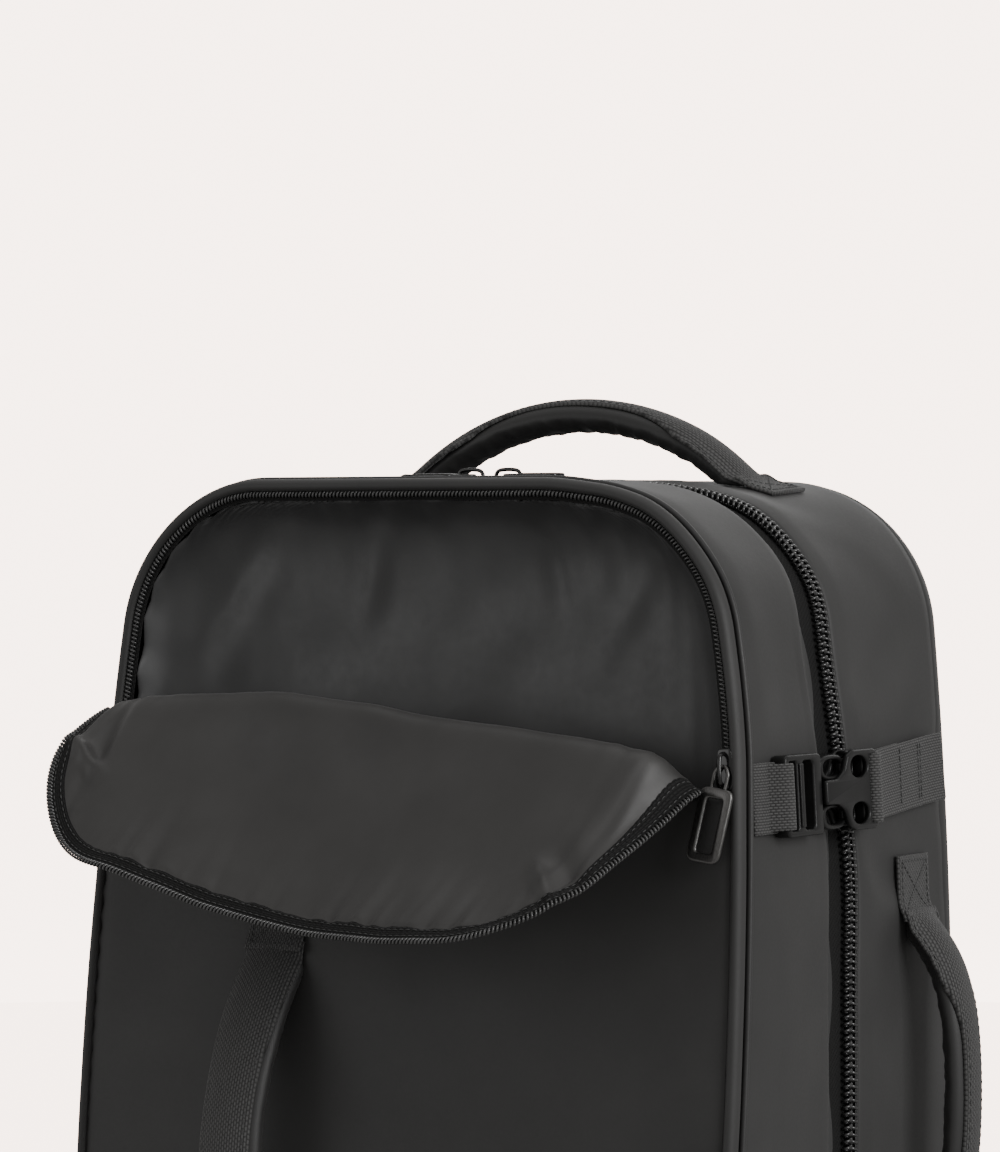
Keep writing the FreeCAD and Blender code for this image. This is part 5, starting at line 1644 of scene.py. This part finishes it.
def make_inner_linings():
    """The linings of both halves, each a tray in one piece."""
    profile = np.array([(-3.7, 7.5), (-3.7, 30), (-3.7, 60), (-4.6, 85), (-9.0, 90.0), (-14.0, 91.0)])
    wall = ring(profile[:, 0], profile[:, 1])
    face = inward_rings(wall[:, -1], 91.0, 0.05, 14)
    face[..., 1] += ripple(face, 70.0, 3.0) * 0.5 - 0.3
    rear = Soup().add(np.concatenate([wall, face], 1), along=True, flip=True).build(
        "rear_inner_lining", "rear", INNER_LINING, "lining", ["back_stiffener", "base_stiffener"], merge=0.05,
        thick=0.5)
    edge = front_y(OUT.at[:, 1])[:, None]
    grow = np.array([-4.3, -4.3, -4.3, -5.5, -12.0])
    t = np.array([0.0, 0.35, 0.8, 1.0, 1.0])
    opening = -8.5
    depth = opening + (edge + 36.0 - opening) * t[None] - np.array([0, 0, 0, 0, 2.0])
    wall = ring(grow, depth)
    face = inward_rings(wall[:, -1], -60.0, 0.05, 14)
    face[..., 1] = front_y(face[..., 2]) + 34.0 + ripple(face, 60.0, 13.0) * 1.2
    front = Soup().add(np.concatenate([wall, face], 1), along=True).build(
        "front_inner_lining", "front", INNER_LINING, "lining", merge=0.05, thick=0.5)


def make_laptop_sleeve():
    half, low, high = SLEEVE_HALF, SLEEVE_LOW, SLEEVE_HIGH
    outline = rounded([(-half, low), (half, low), (half, high), (-half, high)], 9, 6)

    def near_rim(p):
        return (half - abs(p[:, 0]) < 6.0) | (p[:, 2] - low < 6.0) | (high - p[:, 2] < 6.0)

    cushion("laptop_sleeve_padding", outline, SLEEVE_FRONT, SLEEVE_BACK, 4.2, near_rim, 1.0,
            channels((110, 220), 0.8, 3.0, 62.0), "rear", INNER_LINING, "lining", ["laptop_sleeve"])
    path = spread(np.linspace(-half + 6, half - 6, 90), (SLEEVE_FRONT + SLEEVE_BACK) / 2, high + 0.2)
    rod("laptop_sleeve_binding", "rear", tube(path, 2.2, 10, wide=1.3), EDGING, "piping")
    path = smoothed([(0, 54.7, 250.5), (0, 54.7, 340), (0, 54.9, 352.6), (0, 60, 353), (0, 91.2, 353)], 1.2)
    out = np.cross((1.0, 0.0, 0.0), unit(np.gradient(path, axis=0)))
    strap_piece("laptop_strap_web", "rear", [strap_grid(path, out, WEBBING, WEBBING_THICK)], ["laptop_strap"])
    for name, side in SIDES:
        deep, tall = np.linspace(GUSSET_FRONT, GUSSET_BACK, 26), np.linspace(GUSSET_LOW, GUSSET_HIGH, 90)
        y, z = np.meshgrid(deep, tall, indexing="ij")
        share = (y - GUSSET_FRONT) / (GUSSET_BACK - GUSSET_FRONT)
        fold = 1.1 * np.sin(share * 3 * np.pi) * smooth((z - GUSSET_LOW) / 60.0)
        x = side * (114.5 + fold + 0.3 * ripple(spread(0.0, y, z), 25.0, 7.0))
        soup = Soup().add(np.stack([x, y, z], -1), flip=side < 0)
        gusset = soup.build("laptop_gusset_cloth_" + name, "rear", INNER_LINING, "lining",
                            ["laptop_gusset_" + name], thick=0.6)


# ---- everything ----------------------------------------------------------------------------------
make_front_face()
make_piping()
make_front_gusset()
make_rear_shell()
make_main_zip()
make_side_hinge()
make_pocket_rim()
make_pocket_lining()
make_flap()
make_handles()
make_compression_strap()
make_sliders()
make_back_pads()
make_harness()
make_inner_linings()
make_laptop_sleeve()
make_camera()
make_stage()

final_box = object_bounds()


def plain(value):
    """Nested lists of plain numbers from vectors and tuples."""
    return [plain(v) for v in value] if hasattr(value, "__len__") else round(float(value), 6)


{"cad": plain(cad_box), "visual": plain(final_box)}
